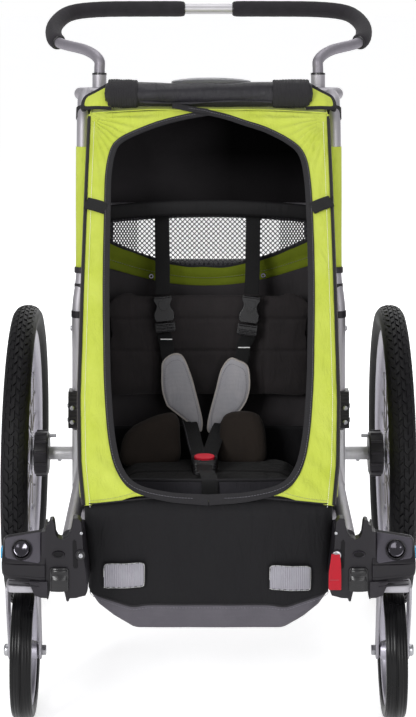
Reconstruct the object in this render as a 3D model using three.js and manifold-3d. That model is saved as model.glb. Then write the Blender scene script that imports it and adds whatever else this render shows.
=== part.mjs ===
// Single-seat child bicycle trailer in its stroller form.
// Millimetres, +Z up, front facing -Y. The shapes are laid out from the ground point midway under the
// rear axle; the finished group is then moved so that its origin is under the middle of its length.
import * as THREE from 'three';
import { mergeVertices } from 'three/addons/utils/BufferGeometryUtils.js';
import Module from 'manifold-3d';

const wasm = await Module();
wasm.setup();

// ---- driving dimensions ----
const fitGap = 0.4;
const sides = [{ tag: 'L', s: -1 }, { tag: 'R', s: 1 }];

const rearRadius = 250;
const rearTyreWidth = 45;
const rearWheelX = 314;
const rearRimRadius = 209;
const spokeCount = 20;
const wheelPinRadius = 6;
const brakeReach = 30;

const casterRadius = 98;
const casterTyreWidth = 32;
const casterX = 272;
const casterAxleY = -520;
const casterAxleZ = 98;
const swivelY = -558;
const crownZ = 203;

const tubeRadius = 11;
const railX = 206;
const railZ = 268;
const postX = 222;
const postY = -26;
const foldZ = 333;
const upperTubeX = 216;
const crossbarY = 92;
const crossbarZ = 858;
const strapBarZ = 668;
const strapBarY = 26;

const socketX = 193;
const socketBottom = new THREE.Vector3(socketX, 88, 745);
const socketTop = new THREE.Vector3(socketX, 108, 891);
const barRadius = 9.5;
const gripRadius = 15;
// where each foam grip starts and ends, as shares of the handlebar's length from its right end
const gripStart = 0.185;
const gripEnd = 0.47;

const noseY = -522;
const noseBarY = -487;
const hemZ = 300;
const roofZ = 845;
const bodyBackY = 66;
const fabric = 4;
const noseHalf = 184;
const bodyHalf = 203;
const windowLow = 566;
const windowHigh = 652;
const windowHalf = 172;
const floorZ = 122;

// ---- modelling helpers ----
function vec(x, y, z) {
  return new THREE.Vector3(x, y, z);
}

function solid(geometry) {
  const plain = geometry.clone();
  plain.deleteAttribute('normal');
  plain.deleteAttribute('uv');
  const merged = mergeVertices(plain, 1e-4);
  const vertProperties = Float32Array.from(merged.attributes.position.array);
  const triVerts = Uint32Array.from(merged.index.array);
  const mesh = new wasm.Mesh({ numProp: 3, vertProperties, triVerts });
  return new wasm.Manifold(mesh);
}

function union(parts) {
  return parts.reduce((sum, next) => sum.add(next));
}

function surface(shape) {
  const mesh = shape.getMesh();
  const geometry = new THREE.BufferGeometry();
  const points = Float32Array.from(mesh.vertProperties);
  geometry.setAttribute('position', new THREE.BufferAttribute(points, 3));
  geometry.setIndex(new THREE.BufferAttribute(Uint32Array.from(mesh.triVerts), 1));
  geometry.computeVertexNormals();
  return geometry;
}

function rod(from, to, radius, facets = 12) {
  const along = to.clone().sub(from);
  const geometry = new THREE.CylinderGeometry(radius, radius, along.length(), facets);
  const turn = new THREE.Quaternion().setFromUnitVectors(vec(0, 1, 0), along.clone().normalize());
  geometry.applyQuaternion(turn);
  const middle = from.clone().add(to).multiplyScalar(0.5);
  geometry.translate(middle.x, middle.y, middle.z);
  return solid(geometry);
}

function box(x0, x1, y0, y1, z0, z1) {
  const geometry = new THREE.BoxGeometry(Math.abs(x1 - x0), Math.abs(y1 - y0), Math.abs(z1 - z0));
  geometry.translate((x0 + x1) / 2, (y0 + y1) / 2, (z0 + z1) / 2);
  return solid(geometry);
}

function outline(points) {
  return new THREE.Shape(points.map(([a, b]) => new THREE.Vector2(a, b)));
}

// A (Y, Z) outline given thickness between two X positions.
function sideSlab(shape, x0, x1, curveSegments = 8) {
  const low = Math.min(x0, x1);
  const depth = Math.abs(x1 - x0);
  const geometry = new THREE.ExtrudeGeometry(shape, { depth, bevelEnabled: false, curveSegments });
  geometry.applyMatrix4(new THREE.Matrix4().makeBasis(vec(0, 1, 0), vec(0, 0, 1), vec(1, 0, 0)));
  geometry.translate(low, 0, 0);
  return solid(geometry);
}

// An (X, Z) outline given thickness between two Y positions.
function frontSlab(shape, y0, y1, curveSegments = 8) {
  const back = Math.max(y0, y1);
  const depth = Math.abs(y1 - y0);
  const geometry = new THREE.ExtrudeGeometry(shape, { depth, bevelEnabled: false, curveSegments });
  geometry.rotateX(Math.PI / 2);
  geometry.translate(0, back, 0);
  return solid(geometry);
}

// An (X, Y) outline given height between two levels.
function planSlab(shape, z0, z1) {
  const geometry = new THREE.ExtrudeGeometry(shape, { depth: z1 - z0, bevelEnabled: false });
  geometry.translate(0, 0, z0);
  return solid(geometry);
}

// A closed (radius, across) profile turned about an axis along X through (x, y, z).
function wheelRing(profile, x, y, z, facets) {
  const closed = [...profile, profile[0]].map(([r, a]) => new THREE.Vector2(r, a));
  const geometry = new THREE.LatheGeometry(closed, facets);
  geometry.rotateZ(-Math.PI / 2);
  geometry.translate(x, y, z);
  return solid(geometry);
}

function tubeAlong(curve, radius, steps, facets, boreRadius = 0) {
  const section = new THREE.Shape();
  section.absarc(0, 0, radius, 0, Math.PI * 2, false);
  if (boreRadius > 0) {
    const bore = new THREE.Path();
    bore.absarc(0, 0, boreRadius, 0, Math.PI * 2, true);
    section.holes.push(bore);
  }
  const settings = { steps, extrudePath: curve, bevelEnabled: false, curveSegments: facets };
  return solid(new THREE.ExtrudeGeometry(section, settings));
}

function smoothPath(points) {
  return new THREE.CatmullRomCurve3(points, false, 'centripetal');
}

const group = new THREE.Group();

function addPart(name, shape, look) {
  const mesh = new THREE.Mesh(surface(shape), look);
  mesh.name = name;
  group.add(mesh);
}

// ---- materials ----
function look(colour, roughness, metalness) {
  return () => new THREE.MeshStandardMaterial({ color: colour, roughness, metalness });
}

const silverTube = look(0xc9c8d2, 0.35, 0.9);
const forkPaint = look(0xb9b9be, 0.4, 0.6);
const rimMetal = look(0xc4c4c8, 0.3, 0.9);
const blackPlastic = look(0x39373c, 0.5, 0);
const coverPlastic = look(0x4c4a52, 0.55, 0);
const tyreRubber = look(0x2b292c, 0.8, 0);
const foam = look(0x353336, 0.95, 0);
const limeFabric = look(0xb5ca32, 0.85, 0);
const blackFabric = look(0x242327, 0.9, 0);
const greyVinyl = look(0x636168, 0.6, 0);
const windowVinyl = look(0x3a302c, 0.35, 0);
const meshNet = look(0x2a292c, 0.8, 0);
const webbing = look(0x1d1c1f, 0.85, 0);
const padSilver = look(0xa6a6b0, 0.45, 0);
const redPlastic = look(0xc91f35, 0.45, 0);
const bluePlastic = look(0x2a9cc8, 0.45, 0);
const boltSteel = look(0xb0b0b4, 0.3, 1);

// ---- lower frame ----
function baseFrame() {
  const parts = [];
  for (const { s } of sides) {
    parts.push(rod(vec(s * railX, 42, railZ), vec(s * railX, -528, railZ), tubeRadius));
    parts.push(rod(vec(s * postX, postY, 188), vec(s * postX, postY, foldZ - 34), tubeRadius));
    parts.push(box(s * postX - 7, s * postX + 7, postY - 3, postY + 3, foldZ - 36, foldZ + 5));
    const hanger = outline([[-16, 232], [16, 232], [16, 276], [-16, 276]]);
    parts.push(sideSlab(hanger, s * (railX - 6), s * (railX + 6)));
  }
  for (const [y, z] of [[31, railZ], [-315, 240], [noseBarY, railZ]]) {
    parts.push(rod(vec(-railX, y, z), vec(railX, y, z), tubeRadius));
  }
  for (const { s } of sides) {
    parts.push(rod(vec(s * railX, -315, 240), vec(s * railX, -315, railZ), tubeRadius));
  }
  const frame = union(parts);
  const axleHole = rod(vec(-300, 0, 250), vec(300, 0, 250), tubeRadius + fitGap, 16);
  return frame.subtract(axleHole);
}

function rearAxle() {
  return rod(vec(-284, 0, 250), vec(284, 0, 250), tubeRadius, 16);
}

function wheelMount(s) {
  const block = rod(vec(s * 274, 0, 250), vec(s * 299, 0, 250), 39, 24);
  const axleBore = rod(vec(s * 270, 0, 250), vec(s * 285, 0, 250), tubeRadius + fitGap, 16);
  const brakeBore = rod(vec(s * 270, 0, 250 + brakeReach), vec(s * 303, 0, 250 + brakeReach), 4, 10);
  const pin = rod(vec(s * 290, 0, 250), vec(s * 322, 0, 250), wheelPinRadius, 12);
  return block.subtract(axleBore).subtract(brakeBore).add(pin);
}

// ---- rear wheels ----
function rearTyre(s) {
  const half = rearTyreWidth / 2;
  const bead = rearRimRadius + fitGap;
  const profile = [
    [bead, -11], [220, -half + 2], [233, -half], [244, -half + 6], [rearRadius, -6],
    [rearRadius, 6], [244, half - 6], [233, half], [220, half - 2], [bead, 11],
  ];
  return wheelRing(profile, s * rearWheelX, 0, 250, 40);
}

function rearRim(s) {
  const profile = [
    [188, -6], [194, -12], [rearRimRadius, -13], [rearRimRadius, 13], [194, 12], [188, 6],
  ];
  return wheelRing(profile, s * rearWheelX, 0, 250, 40);
}

function rearHub(s) {
  const bore = wheelPinRadius + fitGap;
  const profile = [
    [bore, -11], [37, -11], [37, -7.5], [19, -6.5], [15, 0], [19, 8], [24, 8], [24, 11], [14, 12],
    [14, 18], [bore, 18],
  ].map(([r, a]) => [r, a * s]);
  const ordered = s > 0 ? profile : profile.reverse();
  let hub = wheelRing(ordered, s * rearWheelX, 0, 250, 20);
  for (let slot = 0; slot < 6; slot += 1) {
    const angle = (slot * Math.PI) / 3;
    const y = Math.sin(angle) * brakeReach;
    const z = 250 + Math.cos(angle) * brakeReach;
    const x = s * rearWheelX;
    hub = hub.subtract(rod(vec(x - s * 13, y, z), vec(x - s * 5, y, z), 4.8, 6));
  }
  const spokes = [];
  for (let i = 0; i < spokeCount; i += 1) {
    const rimAngle = ((i + 0.5) * 2 * Math.PI) / spokeCount;
    const lean = (i % 4 < 2 ? 1 : -1) * 0.7;
    const hubAngle = rimAngle + lean;
    const inner = i % 2 === 0;
    // the inner row starts outside the brake slots, so a pin in a slot never meets a spoke
    const reach = inner ? 35.6 : 21;
    const start = vec(
      s * (rearWheelX + (inner ? -9.2 : 9.5)),
      Math.sin(hubAngle) * reach,
      250 + Math.cos(hubAngle) * reach,
    );
    const end = vec(s * rearWheelX, Math.sin(rimAngle) * 187, 250 + Math.cos(rimAngle) * 187);
    spokes.push(rod(start, end, 1.4, 4));
  }
  return hub.add(union(spokes));
}

function wheelReleaseButton(s) {
  const x = s * rearWheelX;
  return rod(vec(x + s * 12.5, 0, 250), vec(x + s * 21, 0, 250), 5.6, 12);
}

// ---- caster brackets ----
const plateMiddle = vec(0, -579, 264);
const plateNormal = vec(0, -0.88, 0.475).normalize();

function onPlate(x, distance) {
  return plateMiddle.clone().addScaledVector(plateNormal, distance).setX(x);
}

function casterBracket(s) {
  const block = outline([[-524, 214], [-524, 284], [-530, 289], [-566, 289], [-592, 241], [-592, 214]]);
  const cradle = outline([[-502, 240], [-502, 277], [-580, 277], [-584, 270], [-584, 206], [-560, 206]]);
  const horn = outline([[-560, 270], [-556, 300], [-548, 305], [-532, 305], [-524, 300], [-520, 270]]);
  const inner = outline([[-527, 232], [-527, 284], [-560, 284], [-566, 276], [-566, 226], [-540, 226]]);
  const fin = outline([[-530, 207], [-570, 207], [-564, 200], [-536, 200]]);
  const parts = [
    sideSlab(block, s * 243, s * 301),
    box(s * 231, s * 245, -570, -530, 222, 284),
    sideSlab(cradle, s * 193, s * 233),
    sideSlab(horn, s * 227, s * 232.5),
    sideSlab(horn, s * 193, s * 198.5),
    sideSlab(inner, s * 177, s * 195),
    sideSlab(fin, s * 226, s * 230),
    sideSlab(fin, s * 202, s * 206),
  ];
  const railBore = rod(vec(s * railX, -495, railZ), vec(s * railX, -530, railZ), tubeRadius + fitGap);
  const socket = rod(vec(s * 215, -590, 225), vec(s * 215, -548, 225), 11, 16);
  const stemBore = rod(vec(s * casterX, swivelY, 205), vec(s * casterX, swivelY, 262), 8.5, 16);
  const buttonBore = rod(onPlate(s * casterX, 6), onPlate(s * casterX, -11), 12.6, 20);
  const tabPocket = box(s * 296, s * 303, -567, -551, 240, 264);
  return union(parts).subtract(railBore).subtract(socket).subtract(stemBore)
    .subtract(buttonBore).subtract(tabPocket);
}

function coverPlate(s) {
  const plate = new THREE.BoxGeometry(50, 3, 40);
  plate.rotateX(-Math.asin(plateNormal.z));
  const centre = onPlate(s * casterX, 2.1);
  plate.translate(centre.x, centre.y, centre.z);
  const opening = rod(onPlate(s * casterX, 6), onPlate(s * casterX, -2), 13, 20);
  return solid(plate).subtract(opening);
}

function releaseButton(s) {
  return rod(onPlate(s * casterX, 7), onPlate(s * casterX, -6), 12, 20);
}

function releaseTab(s) {
  return box(s * 298.5, s * 304.5, -566, -552, 248, 263);
}

// ---- casters ----
function casterFork(s) {
  const parts = [box(s * casterX - 24.5, s * casterX + 24.5, -582, -536, crownZ, crownZ + 7)];
  const leg = new THREE.Shape();
  leg.moveTo(-578, crownZ + 1);
  leg.lineTo(-542, crownZ + 1);
  leg.lineTo(casterAxleY + 12.6, casterAxleZ + 5);
  leg.absarc(casterAxleY, casterAxleZ, 13, 0.3, -Math.PI + 0.3, true);
  leg.closePath();
  for (const side of [-1, 1]) {
    const x = s * casterX + side * 20.5;
    parts.push(sideSlab(leg, x, x + side * 4));
  }
  parts.push(rod(vec(s * casterX, swivelY, crownZ + 2), vec(s * casterX, swivelY, 254), 8, 16));
  const axleHole = rod(
    vec(s * casterX - 30, casterAxleY, casterAxleZ),
    vec(s * casterX + 30, casterAxleY, casterAxleZ),
    5 + fitGap,
    12,
  );
  return union(parts).subtract(axleHole);
}

function casterTyre(s) {
  const half = casterTyreWidth / 2;
  const profile = [
    [78.4, -11], [82, -half + 2], [90, -half], [95, -half + 4], [casterRadius, -6],
    [casterRadius, 6], [95, half - 4], [90, half], [82, half - 2], [78.4, 11],
  ];
  return wheelRing(profile, s * casterX, casterAxleY, casterAxleZ, 30);
}

function casterRim(s) {
  const profile = [
    [5.4, -19], [12, -19], [13, -5], [62, -4], [66, -11], [77.6, -12], [77.6, 12], [66, 11],
    [62, 4], [13, 5], [12, 19], [5.4, 19],
  ];
  let rim = wheelRing(profile, s * casterX, casterAxleY, casterAxleZ, 24);
  for (let gap = 0; gap < 5; gap += 1) {
    const angle = (gap * 2 * Math.PI) / 5;
    const y = casterAxleY + Math.sin(angle) * 39;
    const z = casterAxleZ + Math.cos(angle) * 39;
    rim = rim.subtract(rod(vec(s * casterX - 20, y, z), vec(s * casterX + 20, y, z), 17, 8));
  }
  return rim;
}

function casterBolt(s) {
  const at = (offset) => vec(s * (casterX + offset), casterAxleY, casterAxleZ);
  return union([rod(at(-26), at(26), 5, 12), rod(at(25), at(31), 9, 12), rod(at(-25), at(-31), 8, 6)]);
}

// ---- folding upright ----
function uprightFrame() {
  const left = [
    vec(-postX, postY, foldZ + 12), vec(-postX, postY, 420), vec(-postX, postY, 505),
    vec(-upperTubeX, -12, 570), vec(-upperTubeX, -6, 700), vec(-upperTubeX, 2, 800),
    vec(-upperTubeX, 20, 840), vec(-214, 58, crossbarZ), vec(-188, crossbarY, crossbarZ),
  ];
  const right = left.map((p) => vec(-p.x, p.y, p.z)).reverse();
  const hoop = tubeAlong(smoothPath([...left, ...right]), tubeRadius, 50, 5);
  const parts = [hoop];
  const bores = [];
  for (const { s } of sides) {
    const bottom = socketBottom.clone().setX(s * socketX);
    const top = socketTop.clone().setX(s * socketX);
    parts.push(rod(bottom, top, 12.5, 16));
    const along = top.clone().sub(bottom).normalize();
    const boreEnd = bottom.clone().addScaledVector(along, 12);
    const boreTop = top.clone().addScaledVector(along, 8);
    bores.push(rod(boreEnd, boreTop, barRadius + 0.8, 16));
    parts.push(rod(vec(s * 214, -3, 752), vec(s * 214, 92, 752), 8));
    parts.push(box(s * 207, s * 223, -10, strapBarY + 6, strapBarZ - 9, strapBarZ + 9));
  }
  parts.push(rod(vec(-220, 88, 752), vec(220, 88, 752), 8));
  parts.push(rod(vec(-212, strapBarY, strapBarZ), vec(212, strapBarY, strapBarZ), 8));
  return bores.reduce((frame, bore) => frame.subtract(bore), union(parts));
}

function foldLock(s) {
  const x = s * postX;
  const body = outline([
    [postY - 16, 302], [postY + 16, 302], [postY + 18, 308], [postY + 16, 315], [postY + 16, 350],
    [postY + 18, 357], [postY + 15, 365], [postY - 15, 365], [postY - 18, 357], [postY - 16, 350],
    [postY - 16, 315], [postY - 18, 308],
  ]);
  const sleeve = sideSlab(body, x - s * 14.5, x + s * 18);
  return sleeve.subtract(rod(vec(x, postY, 295), vec(x, postY, 372), 12.5, 16));
}

// ---- handlebar ----
function handlebarPoints() {
  const along = socketTop.clone().sub(socketBottom).normalize();
  const sunk = (depth) => socketTop.clone().addScaledVector(along, -depth);
  const right = [
    sunk(116), sunk(70), sunk(30), sunk(-6), vec(195, 113, 916), vec(218, 136, 930), vec(268, 184, 939),
    vec(283, 235, 951), vec(281, 290, 967), vec(258, 336, 982), vec(205, 350, 988),
    vec(110, 352, 989), vec(40, 352, 989),
  ];
  const left = right.map((p) => vec(-p.x, p.y, p.z)).reverse();
  return [...right, ...left];
}

function handlebar() {
  return tubeAlong(smoothPath(handlebarPoints()), barRadius, 56, 5);
}

function grip(s) {
  const curve = smoothPath(handlebarPoints());
  const points = [];
  for (let i = 0; i <= 14; i += 1) {
    const t = gripStart + (i * (gripEnd - gripStart)) / 14;
    const p = curve.getPointAt(t);
    points.push(vec(s * p.x, p.y, p.z));
  }
  return tubeAlong(smoothPath(points), gripRadius, 14, 5, barRadius + 2.5);
}

// ---- soft body ----
function bodyWedge(inset) {
  return outline([
    [noseY + inset, hemZ - inset], [noseY + inset * 1.4, hemZ + 6], [-30 + inset * 0.6, 838 - inset],
    [20, roofZ - inset], [bodyBackY - 6 - inset, 838 - inset], [bodyBackY - inset, 640],
    [bodyBackY - 6 - inset, hemZ - inset],
  ]);
}

function bodyPlan(inset) {
  const right = [
    [noseHalf - inset, noseY - 10], [noseHalf - inset, noseY + 2], [200 - inset, -400],
    [bodyHalf - inset, -120], [bodyHalf - inset, bodyBackY + 20],
  ];
  return outline([...right, ...right.map(([x, y]) => [-x, y]).reverse()]);
}

function frontOpening() {
  const arch = new THREE.Shape();
  arch.moveTo(0, 321);
  arch.bezierCurveTo(70, 318, 132, 330, 148, 414);
  arch.lineTo(166, 767);
  arch.bezierCurveTo(163, 806, 90, 820, 0, 824);
  arch.bezierCurveTo(-90, 820, -163, 806, -166, 767);
  arch.lineTo(-148, 414);
  arch.bezierCurveTo(-132, 330, -70, 318, 0, 321);
  return arch;
}

function sideWindowShape(inset) {
  return outline([
    [-372 + inset, 420 + inset], [-60, 420 + inset], [-54 - inset, 430], [-54 - inset, 740 - inset],
    [-72, 756 - inset * 1.6],
  ]);
}

function canopy() {
  const outer = sideSlab(bodyWedge(0), -230, 230).intersect(planSlab(bodyPlan(0), 280, 900));
  const inner = sideSlab(bodyWedge(fabric), -230, 230).intersect(planSlab(bodyPlan(fabric), 280, 900));
  const open = sideSlab(outline([[-530, 290], [80, 290], [80, hemZ], [-530, hemZ]]), -230, 230);
  let shell = outer.subtract(inner).subtract(open);
  shell = shell.subtract(frontSlab(frontOpening(), -600, -35));
  shell = shell.subtract(sideSlab(sideWindowShape(0), -230, 230));
  shell = shell.subtract(box(-windowHalf, windowHalf, 40, 90, windowLow, windowHigh));
  shell = shell.subtract(box(-230, 230, strapBarY - 14, strapBarY + 14, strapBarZ - 14, strapBarZ + 14));
  return shell;
}

function sideWindow(s) {
  const wall = planSlab(bodyPlan(1.2), 280, 900).subtract(planSlab(bodyPlan(2.8), 280, 900));
  return wall.intersect(sideSlab(sideWindowShape(0.8), s * 120, s * 230));
}

function rearWindow() {
  return box(-windowHalf + 1, windowHalf - 1, 60.5, 62.5, windowLow + 1, windowHigh - 1);
}

function tubOuter(inset) {
  const front = outline([
    [118 - inset, floorZ + inset], [166 - inset, 157 + inset * 0.6], [179 - inset, 170 + inset * 0.4],
    [182 - inset, 235], [183 - inset, hemZ - 2 + inset * 3], [-183 + inset, hemZ - 2 + inset * 3],
    [-182 + inset, 235], [-179 + inset, 170 + inset * 0.4], [-166 + inset, 157 + inset * 0.6],
    [-118 + inset, floorZ + inset],
  ]);
  const side = outline([
    [-496 + inset, floorZ + inset], [-60 - inset, floorZ + inset], [-24 - inset, 190],
    [-20 - inset, hemZ - 2 + inset * 3], [noseY + 1 + inset, hemZ - 2 + inset * 3],
    [-507 + inset, 170 + inset * 0.6],
  ]);
  return frontSlab(front, -560, 20).intersect(sideSlab(side, -230, 230));
}

function footTub() {
  const seatBarHole = rod(vec(-230, -315, 240), vec(230, -315, 240), tubeRadius + 1);
  const noseBarHole = rod(vec(-230, noseBarY, railZ), vec(230, noseBarY, railZ), tubeRadius + 1);
  return tubOuter(0).subtract(tubOuter(fabric)).subtract(seatBarHole).subtract(noseBarHole);
}

function seatCushion() {
  const shape = outline([
    [-338, 260], [-338, 286], [-328, 297], [-310, 298], [-70, 271], [-56, 262], [-56, 236], [-66, 230],
    [-290, 252], [-296, 256],
  ]);
  return sideSlab(shape, -152, 152);
}

function seatBack() {
  const shape = outline([
    [-36, 356], [-30, 348], [-10, 348], [-4, 356], [14, 520], [8, 530], [-10, 530], [-18, 520],
  ]);
  return sideSlab(shape, -150, 150);
}

function coverRoll() {
  const profile = [
    [0, -172], [14, -172], [19, -160], [22, -120], [22, 120], [19, 160], [14, 172], [0, 172],
  ].map(([r, a]) => new THREE.Vector2(r, a));
  const geometry = new THREE.LatheGeometry(profile, 20);
  geometry.rotateZ(-Math.PI / 2);
  geometry.translate(0, -6, 868.5);
  return solid(geometry);
}

function cargoBag() {
  const shape = outline([
    [70, 300], [112, 304], [126, 330], [130, 470], [118, 540], [100, 556], [72, 556], [70, 540],
  ]);
  return sideSlab(shape, -165, 165);
}

// ---- harness ----
function seatTopZ(y) {
  return 298 - ((y + 310) * 27) / 240;
}

function crotchStrap() {
  const top = (y, lift) => [y, seatTopZ(y) + lift];
  const shape = outline([
    top(-180, 1), top(-180, 4), top(-310, 4), [-331, 301], [-343, 288], [-343, 262], [-340, 262],
    [-340, 287], [-329, 298.4], top(-310, 1),
  ]);
  return sideSlab(shape, -20.5, 4.5);
}

function buckleBody() {
  const top = (y, lift) => [y, seatTopZ(y) + lift];
  const shape = outline([top(-236, 4.6), top(-176, 4.6), top(-178, 17), top(-184, 20), top(-228, 20), top(-236, 15)]);
  const pocket = buckleOval(13, 7.5, 10, 30);
  return sideSlab(shape, -27, 11).subtract(pocket);
}

function buckleOval(halfWide, halfDeep, lower, upper) {
  const oval = new THREE.Shape();
  oval.absellipse(-8, -206, halfWide, halfDeep, 0, Math.PI * 2, false);
  const base = seatTopZ(-206);
  return planSlab(oval, base + lower, base + upper);
}

function buckleButton() {
  return buckleOval(12.4, 6.9, 13.4, 21.5);
}

function shoulderStrap(s) {
  const shape = outline([
    [12, 652], [14.5, 652], [-15, 540], [-22, 520], [-38.5, 362], [-38.5, 350], [-41, 350], [-41, 362],
    [-24.5, 520], [-17.5, 540],
  ]);
  return sideSlab(shape, s * 79 - 12, s * 79 + 12);
}

function shoulderBuckle(s) {
  const shape = outline([[-25.5, 522], [-34.5, 520], [-37.5, 500], [-40, 470], [-39.5, 455], [-33.2, 453]]);
  return sideSlab(shape, s * 79 - 16, s * 79 + 16);
}

function chestPad(s) {
  const pad = outline([
    [-79, 418], [-62, 430], [-45, 427], [-31, 396], [-12, 322], [-14, 307], [-40, 318], [-69, 345],
    [-78, 388],
  ].map(([x, z]) => [-s * x, z]));
  return frontSlab(pad, -54, -44.5);
}

// ---- parking brake ----
function brakePedal() {
  const spindle = rod(vec(66, 58, 222), vec(124, 58, 222), 6, 12);
  const pedal = outline([[52, 216], [96, 206], [126, 208], [128, 214], [96, 216], [60, 230]]);
  return union([spindle, sideSlab(pedal, 72, 118)]);
}

function brakeBracket() {
  const cheek = outline([[14, 238], [16, 255.5], [40, 255.5], [68, 232], [68, 212], [50, 212]]);
  const parts = [sideSlab(cheek, 64, 68), sideSlab(cheek, 122, 126), box(64, 126, 22, 38, 252, 255.5)];
  return union(parts).subtract(rod(vec(60, 58, 222), vec(130, 58, 222), 6 + fitGap, 12));
}

function brakePin(s) {
  return rod(vec(s * 262, 0, 250 + brakeReach), vec(s * 300.5, 0, 250 + brakeReach), 3.4, 8);
}

function pullStrap() {
  return box(175, 193, -569.5, -567, 206, 258);
}

addPart('base_frame', baseFrame(), silverTube());
addPart('rear_axle', rearAxle(), silverTube());
for (const { tag, s } of sides) {
  addPart(`wheel_mount_${tag}`, wheelMount(s), blackPlastic());
  addPart(`rear_tyre_${tag}`, rearTyre(s), tyreRubber());
  addPart(`rear_rim_${tag}`, rearRim(s), rimMetal());
  addPart(`rear_hub_${tag}`, rearHub(s), rimMetal());
  addPart(`wheel_release_button_${tag}`, wheelReleaseButton(s), blackPlastic());
  addPart(`caster_bracket_${tag}`, casterBracket(s), blackPlastic());
  addPart(`cover_plate_${tag}`, coverPlate(s), coverPlastic());
  addPart(`caster_release_button_${tag}`, releaseButton(s), rimMetal());
  addPart(`release_tab_${tag}`, releaseTab(s), bluePlastic());
  addPart(`caster_fork_${tag}`, casterFork(s), forkPaint());
  addPart(`caster_tyre_${tag}`, casterTyre(s), tyreRubber());
  addPart(`caster_rim_${tag}`, casterRim(s), rimMetal());
  addPart(`caster_bolt_${tag}`, casterBolt(s), boltSteel());
  addPart(`fold_lock_${tag}`, foldLock(s), blackPlastic());
  addPart(`grip_${tag}`, grip(s), foam());
  addPart(`side_window_${tag}`, sideWindow(s), windowVinyl());
  addPart(`shoulder_strap_${tag}`, shoulderStrap(s), webbing());
  addPart(`shoulder_buckle_${tag}`, shoulderBuckle(s), blackPlastic());
  addPart(`chest_pad_${tag}`, chestPad(s), padSilver());
  addPart(`brake_pin_${tag}`, brakePin(s), boltSteel());
}
addPart('upright_frame', uprightFrame(), silverTube());
addPart('handlebar', handlebar(), silverTube());
addPart('canopy', canopy(), limeFabric());
addPart('rear_window', rearWindow(), meshNet());
addPart('foot_tub', footTub(), greyVinyl());
addPart('seat_cushion', seatCushion(), blackFabric());
addPart('seat_back', seatBack(), blackFabric());
addPart('cover_roll', coverRoll(), blackFabric());
addPart('cargo_bag', cargoBag(), blackFabric());
addPart('crotch_strap', crotchStrap(), webbing());
addPart('harness_buckle', buckleBody(), blackPlastic());
addPart('buckle_button', buckleButton(), redPlastic());
addPart('brake_bracket', brakeBracket(), blackPlastic());
addPart('brake_pedal', brakePedal(), redPlastic());
addPart('red_pull_strap', pullStrap(), redPlastic());

// The ground point under the middle of the overall length becomes the origin.
const extent = new THREE.Box3().setFromObject(group);
group.position.y = -(extent.min.y + extent.max.y) / 2;

export default group;
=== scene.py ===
"""Looks of the child bicycle trailer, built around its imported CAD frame.

Helpers take millimetres measured from the ground point midway under the rear axle (X right, Y back,
Z up) and place them in the row frame in metres, using the axle's own CAD box as the datum.
"""

import math

import bmesh
import bpy
import numpy as np
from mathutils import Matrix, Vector, noise


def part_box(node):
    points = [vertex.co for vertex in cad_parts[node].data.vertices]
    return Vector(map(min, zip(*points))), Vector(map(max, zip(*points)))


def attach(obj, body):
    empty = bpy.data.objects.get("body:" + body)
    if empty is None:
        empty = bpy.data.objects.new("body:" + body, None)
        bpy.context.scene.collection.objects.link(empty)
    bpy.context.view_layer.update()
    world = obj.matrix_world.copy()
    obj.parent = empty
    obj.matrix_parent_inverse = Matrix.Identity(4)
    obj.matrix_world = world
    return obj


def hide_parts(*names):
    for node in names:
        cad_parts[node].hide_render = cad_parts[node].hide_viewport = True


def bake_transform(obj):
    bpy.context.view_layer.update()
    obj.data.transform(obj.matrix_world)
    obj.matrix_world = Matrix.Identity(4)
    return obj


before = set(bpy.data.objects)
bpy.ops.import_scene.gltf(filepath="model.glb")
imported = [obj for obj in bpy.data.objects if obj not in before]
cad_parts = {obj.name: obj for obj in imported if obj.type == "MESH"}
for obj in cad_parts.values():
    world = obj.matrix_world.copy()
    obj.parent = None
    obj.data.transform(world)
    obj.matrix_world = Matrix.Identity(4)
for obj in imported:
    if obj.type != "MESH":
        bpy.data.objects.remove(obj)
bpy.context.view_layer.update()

axle_low, axle_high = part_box("rear_axle")
AXLE_Y = (axle_low.y + axle_high.y) / 2
SIDES = (("L", -1), ("R", 1))

# driving dimensions, in mm, of the pieces that repeat through the script
POST_X, POST_Y, FOLD_Z = 222, -26, 333
RAIL_X, RAIL_Z = 206, 268
WHEEL_X, AXLE_Z = 314, 250
SOCKET_LOW, SOCKET_TOP = (193, 88, 745), (193, 108, 891)
CASTER_X, CASTER_Y, CASTER_Z, SWIVEL_Y = 272, -520, 98, -558
TUBE_R = 11
SEAM_MERGE = 1e-5

X, Y, Z = Vector((1, 0, 0)), Vector((0, 1, 0)), Vector((0, 0, 1))


def at(x, y, z):
    """A point given in mm from the datum, in the row frame in metres."""
    return Vector((x / 1000, AXLE_Y + y / 1000, z / 1000))


def in_mm(p):
    """The same point the other way round: a row-frame point in mm from the datum."""
    return p.x * 1000, (p.y - AXLE_Y) * 1000, p.z * 1000


def clamp(value):
    return min(1, max(0, value))


# ---------------------------------------------------------------- mesh helpers
def add_mesh(name, verts, faces, material, sharp_deg=42):
    """A smooth-shaded mesh object whose edges turn sharp above an angle (None keeps all smooth)."""
    mesh = bpy.data.meshes.new(name)
    mesh.from_pydata([tuple(v) for v in verts], [], [tuple(f) for f in faces])
    mesh.validate()
    mesh.materials.append(material)
    obj = bpy.data.objects.new(name, mesh)
    bpy.context.scene.collection.objects.link(obj)
    mesh.shade_smooth()
    if sharp_deg:
        mesh.set_sharp_from_angle(angle=math.radians(sharp_deg))
    return obj


def modifier(obj, kind, name, **settings):
    mod = obj.modifiers.new(name, kind)
    for key, value in settings.items():
        setattr(mod, key, value)
    return mod


def bevel(obj, width_mm, segments=3, angle=35):
    modifier(obj, "BEVEL", "edges", width=width_mm / 1000, segments=segments,
             limit_method="ANGLE", angle_limit=math.radians(angle), harden_normals=False)
    modifier(obj, "WEIGHTED_NORMAL", "normals", keep_sharp=True)
    return obj


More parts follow.
